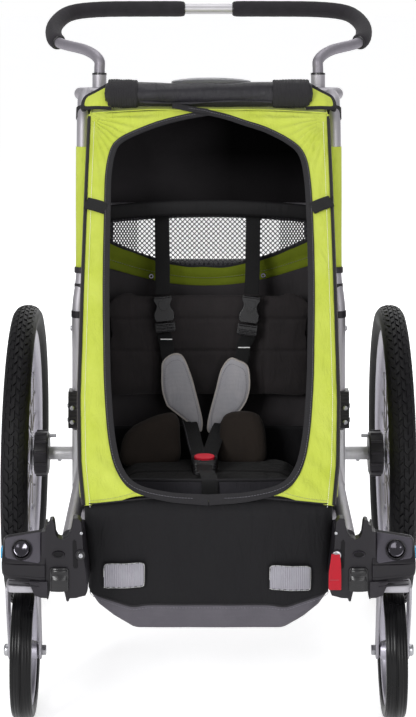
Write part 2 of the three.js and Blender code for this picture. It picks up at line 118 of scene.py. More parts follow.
def apply_modifiers(obj):
    """Turns the object's modifiers into plain geometry."""
    bpy.context.view_layer.update()
    graph = bpy.context.evaluated_depsgraph_get()
    mesh = bpy.data.meshes.new_from_object(obj.evaluated_get(graph), depsgraph=graph)
    obj.modifiers.clear()
    obj.data = mesh
    return obj


def drill(obj, cutters):
    """Cuts each closed cutter out of obj."""
    for cutter in cutters:
        recalculate(cutter)
        modifier(obj, "BOOLEAN", "hole", object=cutter, operation="DIFFERENCE", solver="EXACT")
        apply_modifiers(obj)
        bpy.data.objects.remove(cutter)
    return obj


def join(name, objects):
    """One object out of several, keeping each face's material."""
    verts, faces, materials, slots = [], [], [], []
    for obj in objects:
        apply_modifiers(obj)
        base = len(verts)
        slot_of = []
        for mat in obj.data.materials:
            if mat not in materials:
                materials.append(mat)
            slot_of.append(materials.index(mat))
        verts += [obj.matrix_world @ v.co for v in obj.data.vertices]
        for poly in obj.data.polygons:
            faces.append([base + i for i in poly.vertices])
            slots.append(slot_of[poly.material_index] if slot_of else 0)
        bpy.data.objects.remove(obj)
    joined = add_mesh(name, verts, faces, materials[0])
    for mat in materials[1:]:
        joined.data.materials.append(mat)
    joined.data.polygons.foreach_set("material_index", slots)
    modifier(joined, "WEIGHTED_NORMAL", "normals", keep_sharp=True)
    return joined


def bridge_rings(count, size, closed=False):
    faces = []
    for i in range(count if closed else count - 1):
        for k in range(size):
            a, b = i * size + k, i * size + (k + 1) % size
            c, d = ((i + 1) % count) * size + (k + 1) % size, ((i + 1) % count) * size + k
            faces.append((a, b, c, d))
    return faces


def loft(name, rings, material, sharp_deg=42):
    """A closed body through rings with the same number of points, capped at both ends."""
    size = len(rings[0])
    verts = [p for ring in rings for p in ring]
    caps = [tuple(reversed(range(size))), tuple(range(len(verts) - size, len(verts)))]
    return add_mesh(name, verts, bridge_rings(len(rings), size) + caps, material, sharp_deg)


def turned(name, levels, start, direction, material, sides, shape=None):
    """A solid turned about an axis through levels of (radius, along) in mm; shape(t) scales each radius."""
    side = direction.orthogonal().normalized()
    other = direction.cross(side)
    rings = []
    for radius, along in levels:
        ring = []
        for k in range(sides):
            t = 2 * math.pi * k / sides
            reach = radius / 1000 * (shape(t, radius) if shape else 1)
            outwards = side * math.cos(t) + other * math.sin(t)
            ring.append(start + direction * (along / 1000) + outwards * reach)
        rings.append(ring)
    return loft(name, rings, material)


def catmull(keys, per_span, closed=False):
    """Points of a smooth curve through keys (Vectors of any size)."""
    keys = [Vector(k) for k in keys]
    n = len(keys)
    out = []
    spans = n if closed else n - 1
    for i in range(spans):
        p0 = keys[(i - 1) % n] if closed or i > 0 else keys[0] * 2 - keys[1]
        p1, p2 = keys[i], keys[(i + 1) % n]
        p3 = keys[(i + 2) % n] if closed or i + 2 < n else p2 * 2 - p1
        for s in range(per_span):
            t = s / per_span
            out.append(0.5 * (2 * p1 + (p2 - p0) * t + (2 * p0 - 5 * p1 + 4 * p2 - p3) * t * t
                              + (3 * p1 - p0 - 3 * p2 + p3) * t * t * t))
    if not closed:
        out.append(keys[-1].copy())
    return out


def smooth(keys, per_span):
    """A smooth curve through keys given in mm from the datum."""
    return [at(*p) for p in catmull(keys, per_span)]


def tangents(points, closed=False):
    n = len(points)
    out = []
    for i in range(n):
        a = points[(i - 1) % n] if closed or i > 0 else points[i]
        b = points[(i + 1) % n] if closed or i < n - 1 else points[i]
        out.append((b - a).normalized())
    return out


def tube(name, points, radius_mm, material, sides=28):
    """A round tube along points (metres). radius_mm is a number or a function of 0..1 along it."""
    directions = tangents(points)
    side = directions[0].orthogonal().normalized()
    verts = []
    n = len(points)
    for i, (p, d) in enumerate(zip(points, directions)):
        side = (side - d * side.dot(d)).normalized()
        other = d.cross(side)
        r = (radius_mm(i / (n - 1)) if callable(radius_mm) else radius_mm) / 1000
        for k in range(sides):
            a = 2 * math.pi * k / sides
            verts.append(p + side * (math.cos(a) * r) + other * (math.sin(a) * r))
    caps = [tuple(reversed(range(sides))), tuple(range((n - 1) * sides, n * sides))]
    return add_mesh(name, verts, bridge_rings(n, sides) + caps, material)


def rod(name, a, b, radius_mm, material, sides=32, edge_mm=0.8):
    """A straight round bar with softened ends."""
    length = (b - a).length * 1000
    half_in, slight = radius_mm - edge_mm, radius_mm - edge_mm * 0.3
    levels = ((half_in, 0), (slight, edge_mm * 0.3), (radius_mm, edge_mm), (radius_mm, length - edge_mm),
              (slight, length - edge_mm * 0.3), (half_in, length))
    return turned(name, levels, a, (b - a).normalized(), material, sides)


def lathe(name, profile, centre, material, axis="X", sides=64, direction=1):
    """A closed profile of (radius, along) in mm turned about an axis through centre."""
    verts = []
    for k in range(sides):
        t = 2 * math.pi * k / sides
        c, s = math.cos(t), math.sin(t)
        for r, a in profile:
            r, a = r / 1000, a / 1000 * direction
            local = {"X": (a, r * c, r * s), "Y": (r * s, a, r * c), "Z": (r * c, r * s, a)}[axis]
            verts.append(centre + Vector(local))
    faces = bridge_rings(sides, len(profile), closed=True)
    obj = add_mesh(name, verts, faces, material)
    recalculate(obj)
    return obj


def lathe_about(name, profile, start, direction, material, sides=48):
    """A closed profile of (radius, along) in mm turned about any axis."""
    side = direction.orthogonal().normalized()
    other = direction.cross(side)
    verts = []
    for k in range(sides):
        t = 2 * math.pi * k / sides
        out = side * math.cos(t) + other * math.sin(t)
        verts += [start + direction * (along / 1000) + out * (r / 1000) for r, along in profile]
    obj = add_mesh(name, verts, bridge_rings(sides, len(profile), closed=True), material)
    recalculate(obj)
    return obj


def sleeve(name, a, b, outer_mm, inner_mm, material):
    """A short tube from a to b with softened rims."""
    length = (b - a).length * 1000
    e = min(0.8, length * 0.15)
    profile = ((outer_mm - e, 0), (outer_mm, e), (outer_mm, length - e), (outer_mm - e, length),
               (inner_mm, length), (inner_mm, 0))
    return lathe_about(name, profile, a, (b - a).normalized(), material, 40)


def recalculate(obj, merge=1e-7):
    """Merges points closer than merge (metres) and makes a closed surface's faces point outwards."""
    bm = bmesh.new()
    bm.from_mesh(obj.data)
    bmesh.ops.remove_doubles(bm, verts=bm.verts, dist=merge)
    bmesh.ops.recalc_face_normals(bm, faces=bm.faces)
    bm.to_mesh(obj.data)
    bm.free()


def prism(name, outline, place, depth, material, edge_mm=1.5, segments=3):
    """An outline of (a, b) in mm given thickness: place(a, b, c) puts c = 0 and c = depth."""
    n = len(outline)
    verts = [place(a, b, 0) for a, b in outline] + [place(a, b, depth) for a, b in outline]
    faces = [tuple(range(n)), tuple(reversed(range(n, 2 * n)))]
    faces += [(i, i + n, (i + 1) % n + n, (i + 1) % n) for i in range(n)]
    obj = add_mesh(name, verts, faces, material, None if edge_mm else 42)
    recalculate(obj)
    if edge_mm:
        bevel(obj, edge_mm, segments)
    return obj


def block(name, x0, x1, y0, y1, z0, z1, material, edge_mm=1.5):
    outline = [(y0, z0), (y1, z0), (y1, z1), (y0, z1)]
    return prism(name, outline, lambda a, b, c: at(x0 + c, a, b), x1 - x0, material, edge_mm)


def sheet(name, rows, material, thickness_mm=1.2, offset=-1, inner=None, closed=False, out=None):
    """A cloth sheet through rows of points, with thickness and an optional inner material.

    out is the way its right side faces; the thickness then goes the other way.
    """
    m, n = len(rows), len(rows[0])
    verts = [p for row in rows for p in row]
    faces = []
    for i in range(m - 1):
        for j in range(n if closed else n - 1):
            k = (j + 1) % n
            faces.append((i * n + j, i * n + k, (i + 1) * n + k, (i + 1) * n + j))
    if out is not None:
        offset = -1
        facing = sum((verts[b] - verts[a]).cross(verts[c] - verts[b]).dot(out) for a, b, c, _ in faces)
        if facing < 0:
            faces = [tuple(reversed(f)) for f in faces]
    obj = add_mesh(name, verts, faces, material, None)
    if inner:
        obj.data.materials.append(inner)
    if thickness_mm:
        modifier(obj, "SOLIDIFY", "cloth", thickness=thickness_mm / 1000, offset=offset,
                 material_offset=1 if inner else 0, use_even_offset=False)
    return obj


def surface(name, us, vs, point, material, thickness_mm=1.4, offset=0, inner=None):
    """A cloth sheet with one point(u, v) for each pair of steps."""
    rows = [[point(u, v) for v in vs] for u in us]
    return sheet(name, rows, material, thickness_mm, offset, inner)


STRAP_SIDES = 12


def flat_section(width, thickness):
    """A flat strap's cross-section with rounded edges, in mm."""
    points = []
    for k in range(STRAP_SIDES):
        t = 2 * math.pi * k / STRAP_SIDES
        c, s = math.cos(t), math.sin(t)
        x = math.copysign(abs(c) ** 0.35, c) * width / 2
        y = math.copysign(abs(s) ** 0.7, s) * thickness / 2
        points.append((x, y))
    return points


def strap(name, points, normals, width_mm, thickness_mm, material, closed=False, lift_mm=0):
    """A flat strap along points lying on a surface with the given normals."""
    directions = tangents(points, closed)
    n = len(points)
    verts = []
    for i in range(n):
        normal = normals[i] if isinstance(normals, (list, tuple)) else normals
        d = directions[i]
        normal = (normal - d * normal.dot(d)).normalized()
        across = d.cross(normal)
        w = width_mm(i / (n - 1)) if callable(width_mm) else width_mm
        for x, y in flat_section(w, thickness_mm):
            verts.append(points[i] + across * (x / 1000) + normal * ((y + lift_mm) / 1000))
    faces = bridge_rings(n, STRAP_SIDES, closed)
    if not closed:
        faces += [tuple(reversed(range(STRAP_SIDES))), tuple(range((n - 1) * STRAP_SIDES, n * STRAP_SIDES))]
    obj = add_mesh(name, verts, faces, material)
    recalculate(obj)
    return obj


def resample(points, step):
    """Points at an even step (metres) along a polyline, with how far along each one is."""
    out = [points[0].copy()]
    need = step
    for a, b in zip(points, points[1:]):
        length = (b - a).length
        done = 0
        while length - done >= need:
            done += need
            out.append(a.lerp(b, done / length))
            need = step
        need -= length - done
    return out


def stitches(name, points, normals, material, pitch_mm=4.5, length_mm=2.8, width_mm=0.9, lift_mm=0.5):
    """A line of thread stitches lying along points."""
    normal_at = normals if isinstance(normals, (list, tuple)) else None
    dense = resample(points, pitch_mm / 1000)
    verts, faces = [], []
    for i in range(len(dense) - 1):
        p = dense[i]
        d = (dense[i + 1] - p).normalized()
        if normal_at:
            near = min(range(len(points)), key=lambda k: (points[k] - p).length_squared)
            up = normal_at[near]
        else:
            up = normals
        across = d.cross(up).normalized()
        up = across.cross(d)
        base = len(verts)
        for along, lift in ((0, -0.3), (0.25, 0.35), (0.75, 0.35), (1, -0.3)):
            centre = p + d * (length_mm * along / 1000) + up * ((lift + lift_mm) / 1000)
            for x, y in ((-1, 0), (0, 0.5), (1, 0), (0, -0.5)):
                verts.append(centre + across * (x * width_mm / 2000) + up * (y * width_mm / 1000))
        faces += [tuple(base + v for v in f) for f in bridge_rings(4, 4)]
        faces += [(base + 3, base + 2, base + 1, base), (base + 12, base + 13, base + 14, base + 15)]
    return add_mesh(name, verts, faces, material)


def wobble(p, scale, seed=0):
    """Smooth noise between about -1 and 1, the same every run."""
    return noise.noise(Vector((p[0] * scale + seed * 7.3, p[1] * scale - seed * 3.1, p[2] * scale + seed)))


# ---------------------------------------------------------------- materials
def srgb(r, g, b):
    """An 8-bit display colour as the linear colour that nodes expect."""
    def one(v):
        v /= 255
        return v / 12.92 if v <= 0.04045 else ((v + 0.055) / 1.055) ** 2.4
    return one(r), one(g), one(b), 1.0


class Nodes:
    """Short calls for building one material's node tree."""

    def __init__(self, name):
        self.material = bpy.data.materials.new(name)
        self.material.use_nodes = True
        self.tree = self.material.node_tree
        self.shader = self.tree.nodes["Principled BSDF"]
        self.coords = self.add("ShaderNodeTexCoord").outputs["Object"]

    def add(self, kind, **settings):
        node = self.tree.nodes.new(kind)
        for key, value in settings.items():
            setattr(node, key, value)
        return node

    def link(self, source, target):
        self.tree.links.new(source, target)

    def set(self, **inputs):
        for key, value in inputs.items():
            self.shader.inputs[key.replace("_", " ")].default_value = value

    def noise(self, scale, detail=4, roughness=0.55, distortion=0.0, coords=None):
        node = self.add("ShaderNodeTexNoise")
        for key, value in (("Scale", scale), ("Detail", detail), ("Roughness", roughness),
                           ("Distortion", distortion)):
            node.inputs[key].default_value = value
        self.link(coords or self.coords, node.inputs["Vector"])
        return node.outputs["Fac"]

    def wave(self, scale, direction, distortion):
        node = self.add("ShaderNodeTexWave", bands_direction=direction, wave_profile="SIN")
        node.inputs["Scale"].default_value = scale
        node.inputs["Distortion"].default_value = distortion
        self.link(self.coords, node.inputs["Vector"])
        return node.outputs["Fac"]

    def math(self, operation, a, b=0.0):
        node = self.add("ShaderNodeMath", operation=operation)
        for socket, value in zip(node.inputs, (a, b)):
            if isinstance(value, (int, float)):
                socket.default_value = value
            else:
                self.link(value, socket)
        return node.outputs[0]

    def span(self, value, low, high, from_low=0.0, from_high=1.0):
        node = self.add("ShaderNodeMapRange")
        limits = {"From Min": from_low, "From Max": from_high, "To Min": low, "To Max": high}
        for key, number in limits.items():
            node.inputs[key].default_value = number
        self.link(value, node.inputs["Value"])
        return node.outputs["Result"]

    def mix(self, factor, a, b):
        node = self.add("ShaderNodeMix", data_type="RGBA")
        self.link(factor, node.inputs[0])
        for socket, value in ((node.inputs[6], a), (node.inputs[7], b)):
            if isinstance(value, tuple):
                socket.default_value = value
            else:
                self.link(value, socket)
        return node.outputs[2]

    def bump(self, height, strength, distance_mm, below=None):
        node = self.add("ShaderNodeBump")
        node.inputs["Strength"].default_value = strength
        node.inputs["Distance"].default_value = distance_mm / 1000
        self.link(height, node.inputs["Height"])
        if below:
            self.link(below, node.inputs["Normal"])
        self.link(node.outputs["Normal"], self.shader.inputs["Normal"])
        return node.outputs["Normal"]

    def colour(self, source):
        self.link(source, self.shader.inputs["Base Color"])

    def rough(self, source):
        self.link(source, self.shader.inputs["Roughness"])

    def edge_wear(self, base, worn):
        """Lightens the base colour where the surface turns sharply."""
        geometry = self.add("ShaderNodeNewGeometry")
        edge = self.span(geometry.outputs["Pointiness"], 0, 1, 0.52, 0.6)
        return self.mix(self.math("MULTIPLY", edge, self.noise(220)), base, worn)


def weave(nodes, threads_per_mm, strength, distance_mm):
    """A plain weave in all three directions: two crossed waves, the stronger one showing."""
    scale = threads_per_mm * 1000 / (2 * math.pi) * 2
    crossed = None
    for direction in ("X", "Y", "Z"):
        wave = nodes.wave(scale, direction, 0.15)
        crossed = wave if crossed is None else nodes.math("MULTIPLY", crossed, wave)
    return nodes.bump(crossed, strength, distance_mm), crossed


def woven(name, base, dark, rough=0.8, sheen=0.25, threads=0.9, mottle=14, strength=0.35, coat=0.0,
          crumple=0.35):
    n = Nodes(name)
    soft = n.noise(mottle, 5, 0.6)
    fine = n.noise(900, 2)
    tone = n.math("ADD", n.span(soft, -0.15, 0.85), n.span(fine, -0.1, 0.1))
    normal, crossed = weave(n, threads, strength, 0.25)
    shade = n.mix(tone, srgb(*dark), srgb(*base))
    n.colour(n.mix(n.span(crossed, 0.0, 0.22), shade, srgb(*[c * 0.72 for c in dark])))
    slanted = n.add("ShaderNodeMapping")
    slanted.inputs["Rotation"].default_value = (0.3, 0.65, 0.2)
    slanted.inputs["Scale"].default_value = (2.4, 1.0, 0.7)
    n.link(n.coords, slanted.inputs["Vector"])
    wrinkles = n.noise(22, 5, 0.6, 0.9, slanted.outputs["Vector"])
    n.bump(wrinkles, crumple, 6.0, normal)
    n.rough(n.span(soft, rough - 0.08, rough + 0.08))
    n.set(Sheen_Weight=sheen, Sheen_Roughness=0.4, Specular_IOR_Level=0.3, Coat_Weight=coat)
    return n.material


def hood_cloth():
    """The hood's black inner cloth: grey where light comes in low and from the left, black above."""
    n = Nodes("hood_lining_cloth")
    axes = n.add("ShaderNodeSeparateXYZ")
    n.link(n.coords, axes.inputs["Vector"])
    left = n.span(axes.outputs["X"], 0.75, 0.0, -0.17, 0.04)
    low = n.span(axes.outputs["Z"], 0.40, 0.0, 0.66, 0.76)
    cloud = n.noise(18, 4)
    lit = n.math("MULTIPLY", n.math("ADD", left, low), n.span(cloud, 0.7, 1.2))
    n.colour(n.mix(lit, srgb(2, 2, 2), srgb(50, 48, 50)))
    n.bump(n.noise(26, 4, 0.55, 0.6), 0.4, 3.0, weave(n, 0.9, 0.3, 0.25)[0])
    n.rough(n.span(cloud, 0.88, 0.98))
    n.set(Specular_IOR_Level=0.03)
    return n.material


def webbing_material(name, base, dark):
    n = Nodes(name)
    ribs = n.wave(620, "DIAGONAL", 0.3)
    cross = n.wave(420, "Z", 0.2)
    woven_height = n.math("ADD", ribs, cross)
    grain = n.noise(60, 3)
    n.colour(n.mix(n.math("MULTIPLY", ribs, n.span(grain, 0.5, 1.1)), srgb(*dark), srgb(*base)))
    n.bump(woven_height, 0.5, 0.4)
    n.rough(n.span(grain, 0.65, 0.8))
    n.set(Sheen_Weight=0.05, Specular_IOR_Level=0.35)
    return n.material


def plastic(name, base, rough=0.45, grain=900, grain_mm=0.12, worn=None, spec=0.5):
    n = Nodes(name)
    cloud = n.noise(30, 4)
    body = n.mix(n.span(cloud, 0.0, 0.7), srgb(*base), srgb(*[min(255, c * 1.22 + 3) for c in base]))
    n.colour(n.edge_wear(body, srgb(*(worn or [min(255, c * 1.8 + 14) for c in base]))))
    n.bump(n.noise(grain, 3, 0.7), 0.35, grain_mm)
    n.rough(n.span(cloud, rough - 0.07, rough + 0.1))
    n.set(Specular_IOR_Level=spec)
    return n.material


def metal(name, base, rough=0.3, brushed=None, flecks=0.0, metallic=1.0):
    n = Nodes(name)
    cloud = n.noise(24, 4)
    mapping = n.add("ShaderNodeMapping")
    mapping.inputs["Scale"].default_value = brushed or (1, 1, 1)
    n.link(n.coords, mapping.inputs["Vector"])
    streaks = n.noise(260, 3, 0.7, coords=mapping.outputs["Vector"])
    n.colour(n.mix(n.span(streaks, 0.0, 0.6), srgb(*base), srgb(*[c * 0.86 for c in base])))
    n.rough(n.math("ADD", n.span(cloud, rough - 0.05, rough + 0.08), n.span(streaks, -0.05, 0.06)))
    n.bump(streaks, 0.12 + flecks, 0.05)
    n.set(Metallic=metallic, Specular_IOR_Level=0.5)
    return n.material


def rubber(name, base, dust, rough=0.75):
    n = Nodes(name)
    cloud = n.noise(40, 5)
    n.colour(n.mix(n.span(cloud, -0.3, 0.8), srgb(*base), srgb(*dust)))
    n.bump(n.noise(1100, 3, 0.7), 0.3, 0.15)
    n.rough(n.span(cloud, rough - 0.1, rough + 0.1))
    n.set(Specular_IOR_Level=0.26)
    return n.material


def foam_material():
    n = Nodes("grip_foam")
    cells = n.add("ShaderNodeTexVoronoi")
    cells.inputs["Scale"].default_value = 900
    n.link(n.coords, cells.inputs["Vector"])
    cloud = n.noise(50, 4)
    n.colour(n.mix(cloud, srgb(30, 28, 31), srgb(50, 47, 52)))
    n.bump(cells.outputs["Distance"], 0.6, 0.3)
    n.rough(n.span(cloud, 0.85, 0.98))
    n.set(Sheen_Weight=0.05, Sheen_Roughness=0.6, Specular_IOR_Level=0.2)
    return n.material


def film():
    """Tinted window film: dark brown, glossy, a little see-through and softly rippled."""
    n = Nodes("window_film")
    cloud = n.noise(9, 3)
    n.colour(n.mix(cloud, srgb(44, 34, 31), srgb(74, 60, 54)))
    n.bump(n.noise(12, 2, 0.4, 0.8), 0.5, 5.0)
    n.rough(n.span(cloud, 0.12, 0.28))
    n.set(Alpha=0.82, Specular_IOR_Level=0.6, Coat_Weight=0.4, Coat_Roughness=0.1)
    return n.material


def reflective(name, base, dark):
    """Glass-bead tape: bright grey with a fine sparkle."""
    n = Nodes(name)
    beads = n.add("ShaderNodeTexVoronoi")
    beads.inputs["Scale"].default_value = 1600
    n.link(n.coords, beads.inputs["Vector"])
    cloud = n.noise(34, 4)
    n.colour(n.mix(n.math("MULTIPLY", cloud, beads.outputs["Distance"]), srgb(*base), srgb(*dark)))
    n.bump(beads.outputs["Distance"], 0.25, 0.1)
    n.rough(n.span(cloud, 0.32, 0.5))
    n.set(Metallic=0.35, Specular_IOR_Level=0.6)
    return n.material


LIME = woven("lime_cloth", (209, 219, 107), (184, 198, 60), 0.72, 0.12, 0.9, 16, 0.3, crumple=0.75)
# painted shade: the lime cloth darkened to olive, for lime seen from inside the body and under the corner
# flaps
LIME_PAINTED_SHADE = woven("lime_cloth_painted_shade", (124, 138, 24), (90, 102, 11), 0.85, 0.05, 0.9, 12, 0.3)
SEAT_CLOTH = woven("seat_cloth", (27, 25, 25), (16, 15, 15), 0.85, 0.04, 0.6, 18, 0.5, crumple=0.6)
APRON = woven("seat_apron_cloth", (56, 54, 60), (38, 37, 41), 0.8, 0.04, 0.8, 18, 0.4, crumple=0.6)
BLACK = woven("black_cloth", (19, 18, 22), (11, 10, 13), 0.78, 0.04, 0.8, 15, 0.45, crumple=0.5)
ROLL = woven("roll_cloth", (46, 44, 50), (30, 29, 33), 0.5, 0.08, 0.8, 22, 0.4, 0.12, crumple=0.8)
BAND = woven("black_band", (26, 25, 27), (14, 13, 15), 0.7, 0.05, 0.8, 15, 0.4)
LINING = woven("black_lining", (30, 29, 31), (16, 15, 17), 0.92, 0.03, 0.9, 20, 0.3)
HOOD = hood_cloth()
WALL = woven("side_lining_cloth", (58, 56, 58), (40, 38, 40), 0.9, 0.03, 0.9, 20, 0.3)
BACK_CLOTH = woven("back_cloth", (58, 54, 56), (38, 35, 37), 0.75, 0.05, 0.9, 20, 0.35)
PAD = woven("pad_cloth", (56, 51, 52), (36, 33, 34), 0.85, 0.06, 0.6, 18, 0.5, crumple=0.6)
BOLSTER = woven("bolster_cloth", (60, 51, 45), (40, 34, 30), 0.9, 0.06, 0.6, 18, 0.4)
PAD_FACE = woven("chest_pad_cloth", (200, 196, 197), (160, 160, 168), 0.6, 0.25, 1.3, 40, 0.25)
VINYL = woven("grey_vinyl", (98, 95, 102), (76, 73, 80), 0.6, 0.05, 0.7, 16, 0.25, 0.1)
BINDING = webbing_material("binding_tape", (40, 38, 42), (22, 21, 24))
CORNER_TAPE = webbing_material("corner_tape", (52, 42, 40), (34, 27, 26))
WEB = webbing_material("webbing", (23, 22, 24), (10, 10, 11))
ROLL_STRAP = webbing_material("roll_strap_tape", (46, 44, 48), (28, 27, 30))
RIBBON = webbing_material("red_ribbon", (206, 24, 46), (150, 10, 28))
PAD_EDGE = webbing_material("pad_binding", (216, 208, 200), (176, 170, 166))
THREAD = plastic("white_thread", (232, 232, 228), 0.7, 400, 0.05)
DARK_THREAD = plastic("dark_thread", (70, 69, 74), 0.7, 400, 0.05)
SILVER_TAPE = reflective("silver_tape", (170, 168, 176), (112, 110, 118))
NET = plastic("net_thread", (38, 37, 41), 0.65, 500, 0.05)
GREY_NET = plastic("grey_net_thread", (150, 150, 154), 0.65, 500, 0.05)
FILM = film()
TUBE_METAL = metal("anodised_tube", (184, 181, 187), 0.5, (1, 1, 0.08), 0.0, 0.75)
POST_METAL = metal("post_tube", (214, 213, 216), 0.5, (1, 1, 0.08), 0.0, 0.6)
PUSH_METAL = metal("push_tube", (150, 146, 154), 0.5, (1, 1, 0.08), 0.0, 0.7)
BAR_METAL = metal("bar_tube", (204, 202, 206), 0.46, (0.1, 1, 1), 0.0, 0.75)
FORK = metal("fork_finish", (178, 176, 182), 0.5, None, 0.05, 0.5)
RIM_METAL = metal("rim_metal", (186, 183, 194), 0.42, (0.05, 1, 1), 0.0, 0.8)
SPOKE = metal("spoke_wire", (120, 116, 112), 0.35)
STEEL = metal("bolt_steel", (188, 188, 192), 0.28)
CHROME = metal("bright_button", (84, 82, 88), 0.12)
PLASTIC = plastic("black_moulding", (22, 20, 24), 0.42, spec=0.3)
GLOSS = plastic("black_gloss", (18, 17, 19), 0.27, 300, 0.04)
COVER = plastic("cover_moulding", (46, 43, 51), 0.48, 1200, 0.15)
RED = plastic("red_moulding", (206, 28, 50), 0.35, 700, 0.06, (236, 90, 100))
BLUE = plastic("blue_moulding", (38, 150, 200), 0.4, 700, 0.06, (110, 190, 226))
TYRE = rubber("tyre_rubber", (9, 8, 11), (20, 18, 23), 0.6)
CASTER_RUBBER = rubber("caster_rubber", (6, 6, 7), (13, 12, 15), 0.3)
FOAM = foam_material()


# ---------------------------------------------------------------- frame tubes
def ride(obj, body, *nodes, slot=None):
    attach(obj, body)
    if nodes:
        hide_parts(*nodes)
    return obj


def round_cap(name, centre, direction, radius_mm, length_mm, material=PLASTIC):
    """A moulded plug on a tube's end, domed at the tip."""
    a = centre - direction * (length_mm * 0.4 / 1000)
    b = centre + direction * (length_mm * 0.6 / 1000)
    return rod(name, a, b, radius_mm, material, 28, min(2.5, length_mm * 0.3))


def screw_head(name, centre, direction, radius_mm, height_mm):
    """A domed hexagon-socket head."""
    def socket(t, radius):
        return 1 / (1 + 0.16 * abs(math.sin(3 * t))) if radius < radius_mm * 0.5 else 1

    levels = [(r * radius_mm, h * height_mm) for h, r in
              ((0, 1.0), (0.55, 1.0), (0.8, 0.92), (1.0, 0.72), (1.0, 0.46), (0.55, 0.42))]
    head = turned(name, levels, centre, direction, STEEL, 24, socket)
    recalculate(head)
    return head


def build_base_frame():
    parts = []
    for tag, s in SIDES:
        rail_back, rail_front = at(s * RAIL_X, 42, RAIL_Z), at(s * RAIL_X, -527, RAIL_Z)
        parts.append(rod("rail", rail_back, rail_front, TUBE_R, TUBE_METAL))
        foot, head = at(s * POST_X, POST_Y, 188), at(s * POST_X, POST_Y, FOLD_Z - 34)
        parts.append(rod("post", foot, head, TUBE_R, POST_METAL))
        parts.append(block("tongue", s * POST_X - 7, s * POST_X + 7, POST_Y - 3, POST_Y + 3, FOLD_Z - 36,
                           FOLD_Z + 5, STEEL, 1.2))
        parts.append(block("hanger", s * RAIL_X - 6, s * RAIL_X + 6, -16, 16, 233, 276, TUBE_METAL, 2))
        parts.append(rod("drop", at(s * RAIL_X, -315, 240), at(s * RAIL_X, -315, RAIL_Z), TUBE_R, TUBE_METAL))
    for y, z in ((31, RAIL_Z), (-315, 240), (-487, RAIL_Z)):
        parts.append(rod("cross", at(-RAIL_X, y, z), at(RAIL_X, y, z), TUBE_R, TUBE_METAL))
    ride(join("base_tubes", parts), "base", "base_frame", slot="silver_tube")
    for tag, s in SIDES:
        foot = at(s * POST_X, POST_Y, 188)
        ride(round_cap(f"post_foot_cap_{tag}", foot, -Z, 12.2, 8), "base")
        ride(round_cap(f"rail_end_cap_{tag}", at(s * RAIL_X, 42, RAIL_Z), Y, 12.2, 9), "base")
        bolt = at(s * (POST_X + 2), POST_Y - TUBE_R, 205)
        ride(screw_head(f"post_bolt_{tag}", bolt, -Y, 6, 4), "base")
        ride(rod(f"post_bolt_washer_{tag}", bolt, bolt - Y * 0.0012, 7.4, GLOSS), "base")
        knob = at(s * (POST_X - 3), POST_Y + 2, 172)
        ride(knurled_knob(f"post_knob_{tag}", knob, Z, 9, 18), "base")
        ride(screw_head(f"axle_rivet_{tag}", at(s * 256, 0, 238.6), -Z, 3.2, 2), "base")


def knurled_knob(name, centre, direction, radius_mm, height_mm):
    """A hand knob with scalloped sides."""
    levels = [(r * radius_mm, (h - 0.5) * height_mm) for h, r in
              ((0, 0.7), (0.08, 0.92), (0.2, 1), (0.8, 1), (0.93, 0.9), (1, 0.62))]
    knob = turned(name, levels, centre, direction, PLASTIC, 48,
                  lambda t, radius: 1 - 0.07 * (1 + math.cos(8 * t)) / 2)
    recalculate(knob)
    return knob


def build_axle():
    axle = rod("axle_tube", at(-284, 0, AXLE_Z), at(284, 0, AXLE_Z), TUBE_R, POST_METAL)
    ride(axle, "base", "rear_axle", slot="silver_tube")
    for tag, s in SIDES:
        parts = [lathe("disc", [(11.6, 0), (32, 0), (35, 1.2), (36.4, 4), (36.4, 21), (35, 24), (31, 25),
                                (11.6, 25), (11.6, 14), (6.2, 14), (6.2, 10), (11.6, 10)],
                       at(s * 274, 0, AXLE_Z), PLASTIC, "X", 64, s)]
        for k in range(12):
            angle = math.pi * k / 6 + 0.26
            y, z = math.cos(angle) * 36, AXLE_Z + math.sin(angle) * 36
            parts.append(rod("lug", at(s * 277, y, z), at(s * 296, y, z), 2.6, PLASTIC, 10))
        parts.append(rod("pin", at(s * 299, 0, AXLE_Z), at(s * 322, 0, AXLE_Z), 6, STEEL))
        ride(join(f"wheel_mount_detail_{tag}", parts), "base", f"wheel_mount_{tag}", slot="black_plastic")


def handlebar_points():
    """The bar's centreline, right side first, the same way the CAD lays it out."""
    bottom, top = Vector(SOCKET_LOW), Vector(SOCKET_TOP)
    along = (top - bottom).normalized()
    right = [top - along * 116, top - along * 70, top - along * 30, top + along * 6]
    right += [Vector(p) for p in ((195, 113, 916), (218, 136, 930), (268, 184, 939), (283, 235, 951),
                                  (281, 290, 967), (258, 336, 982), (205, 350, 988), (110, 352, 989),
                                  (40, 352, 989))]
    left = [Vector((-p.x, p.y, p.z)) for p in reversed(right)]
    return smooth(right + left, 12)


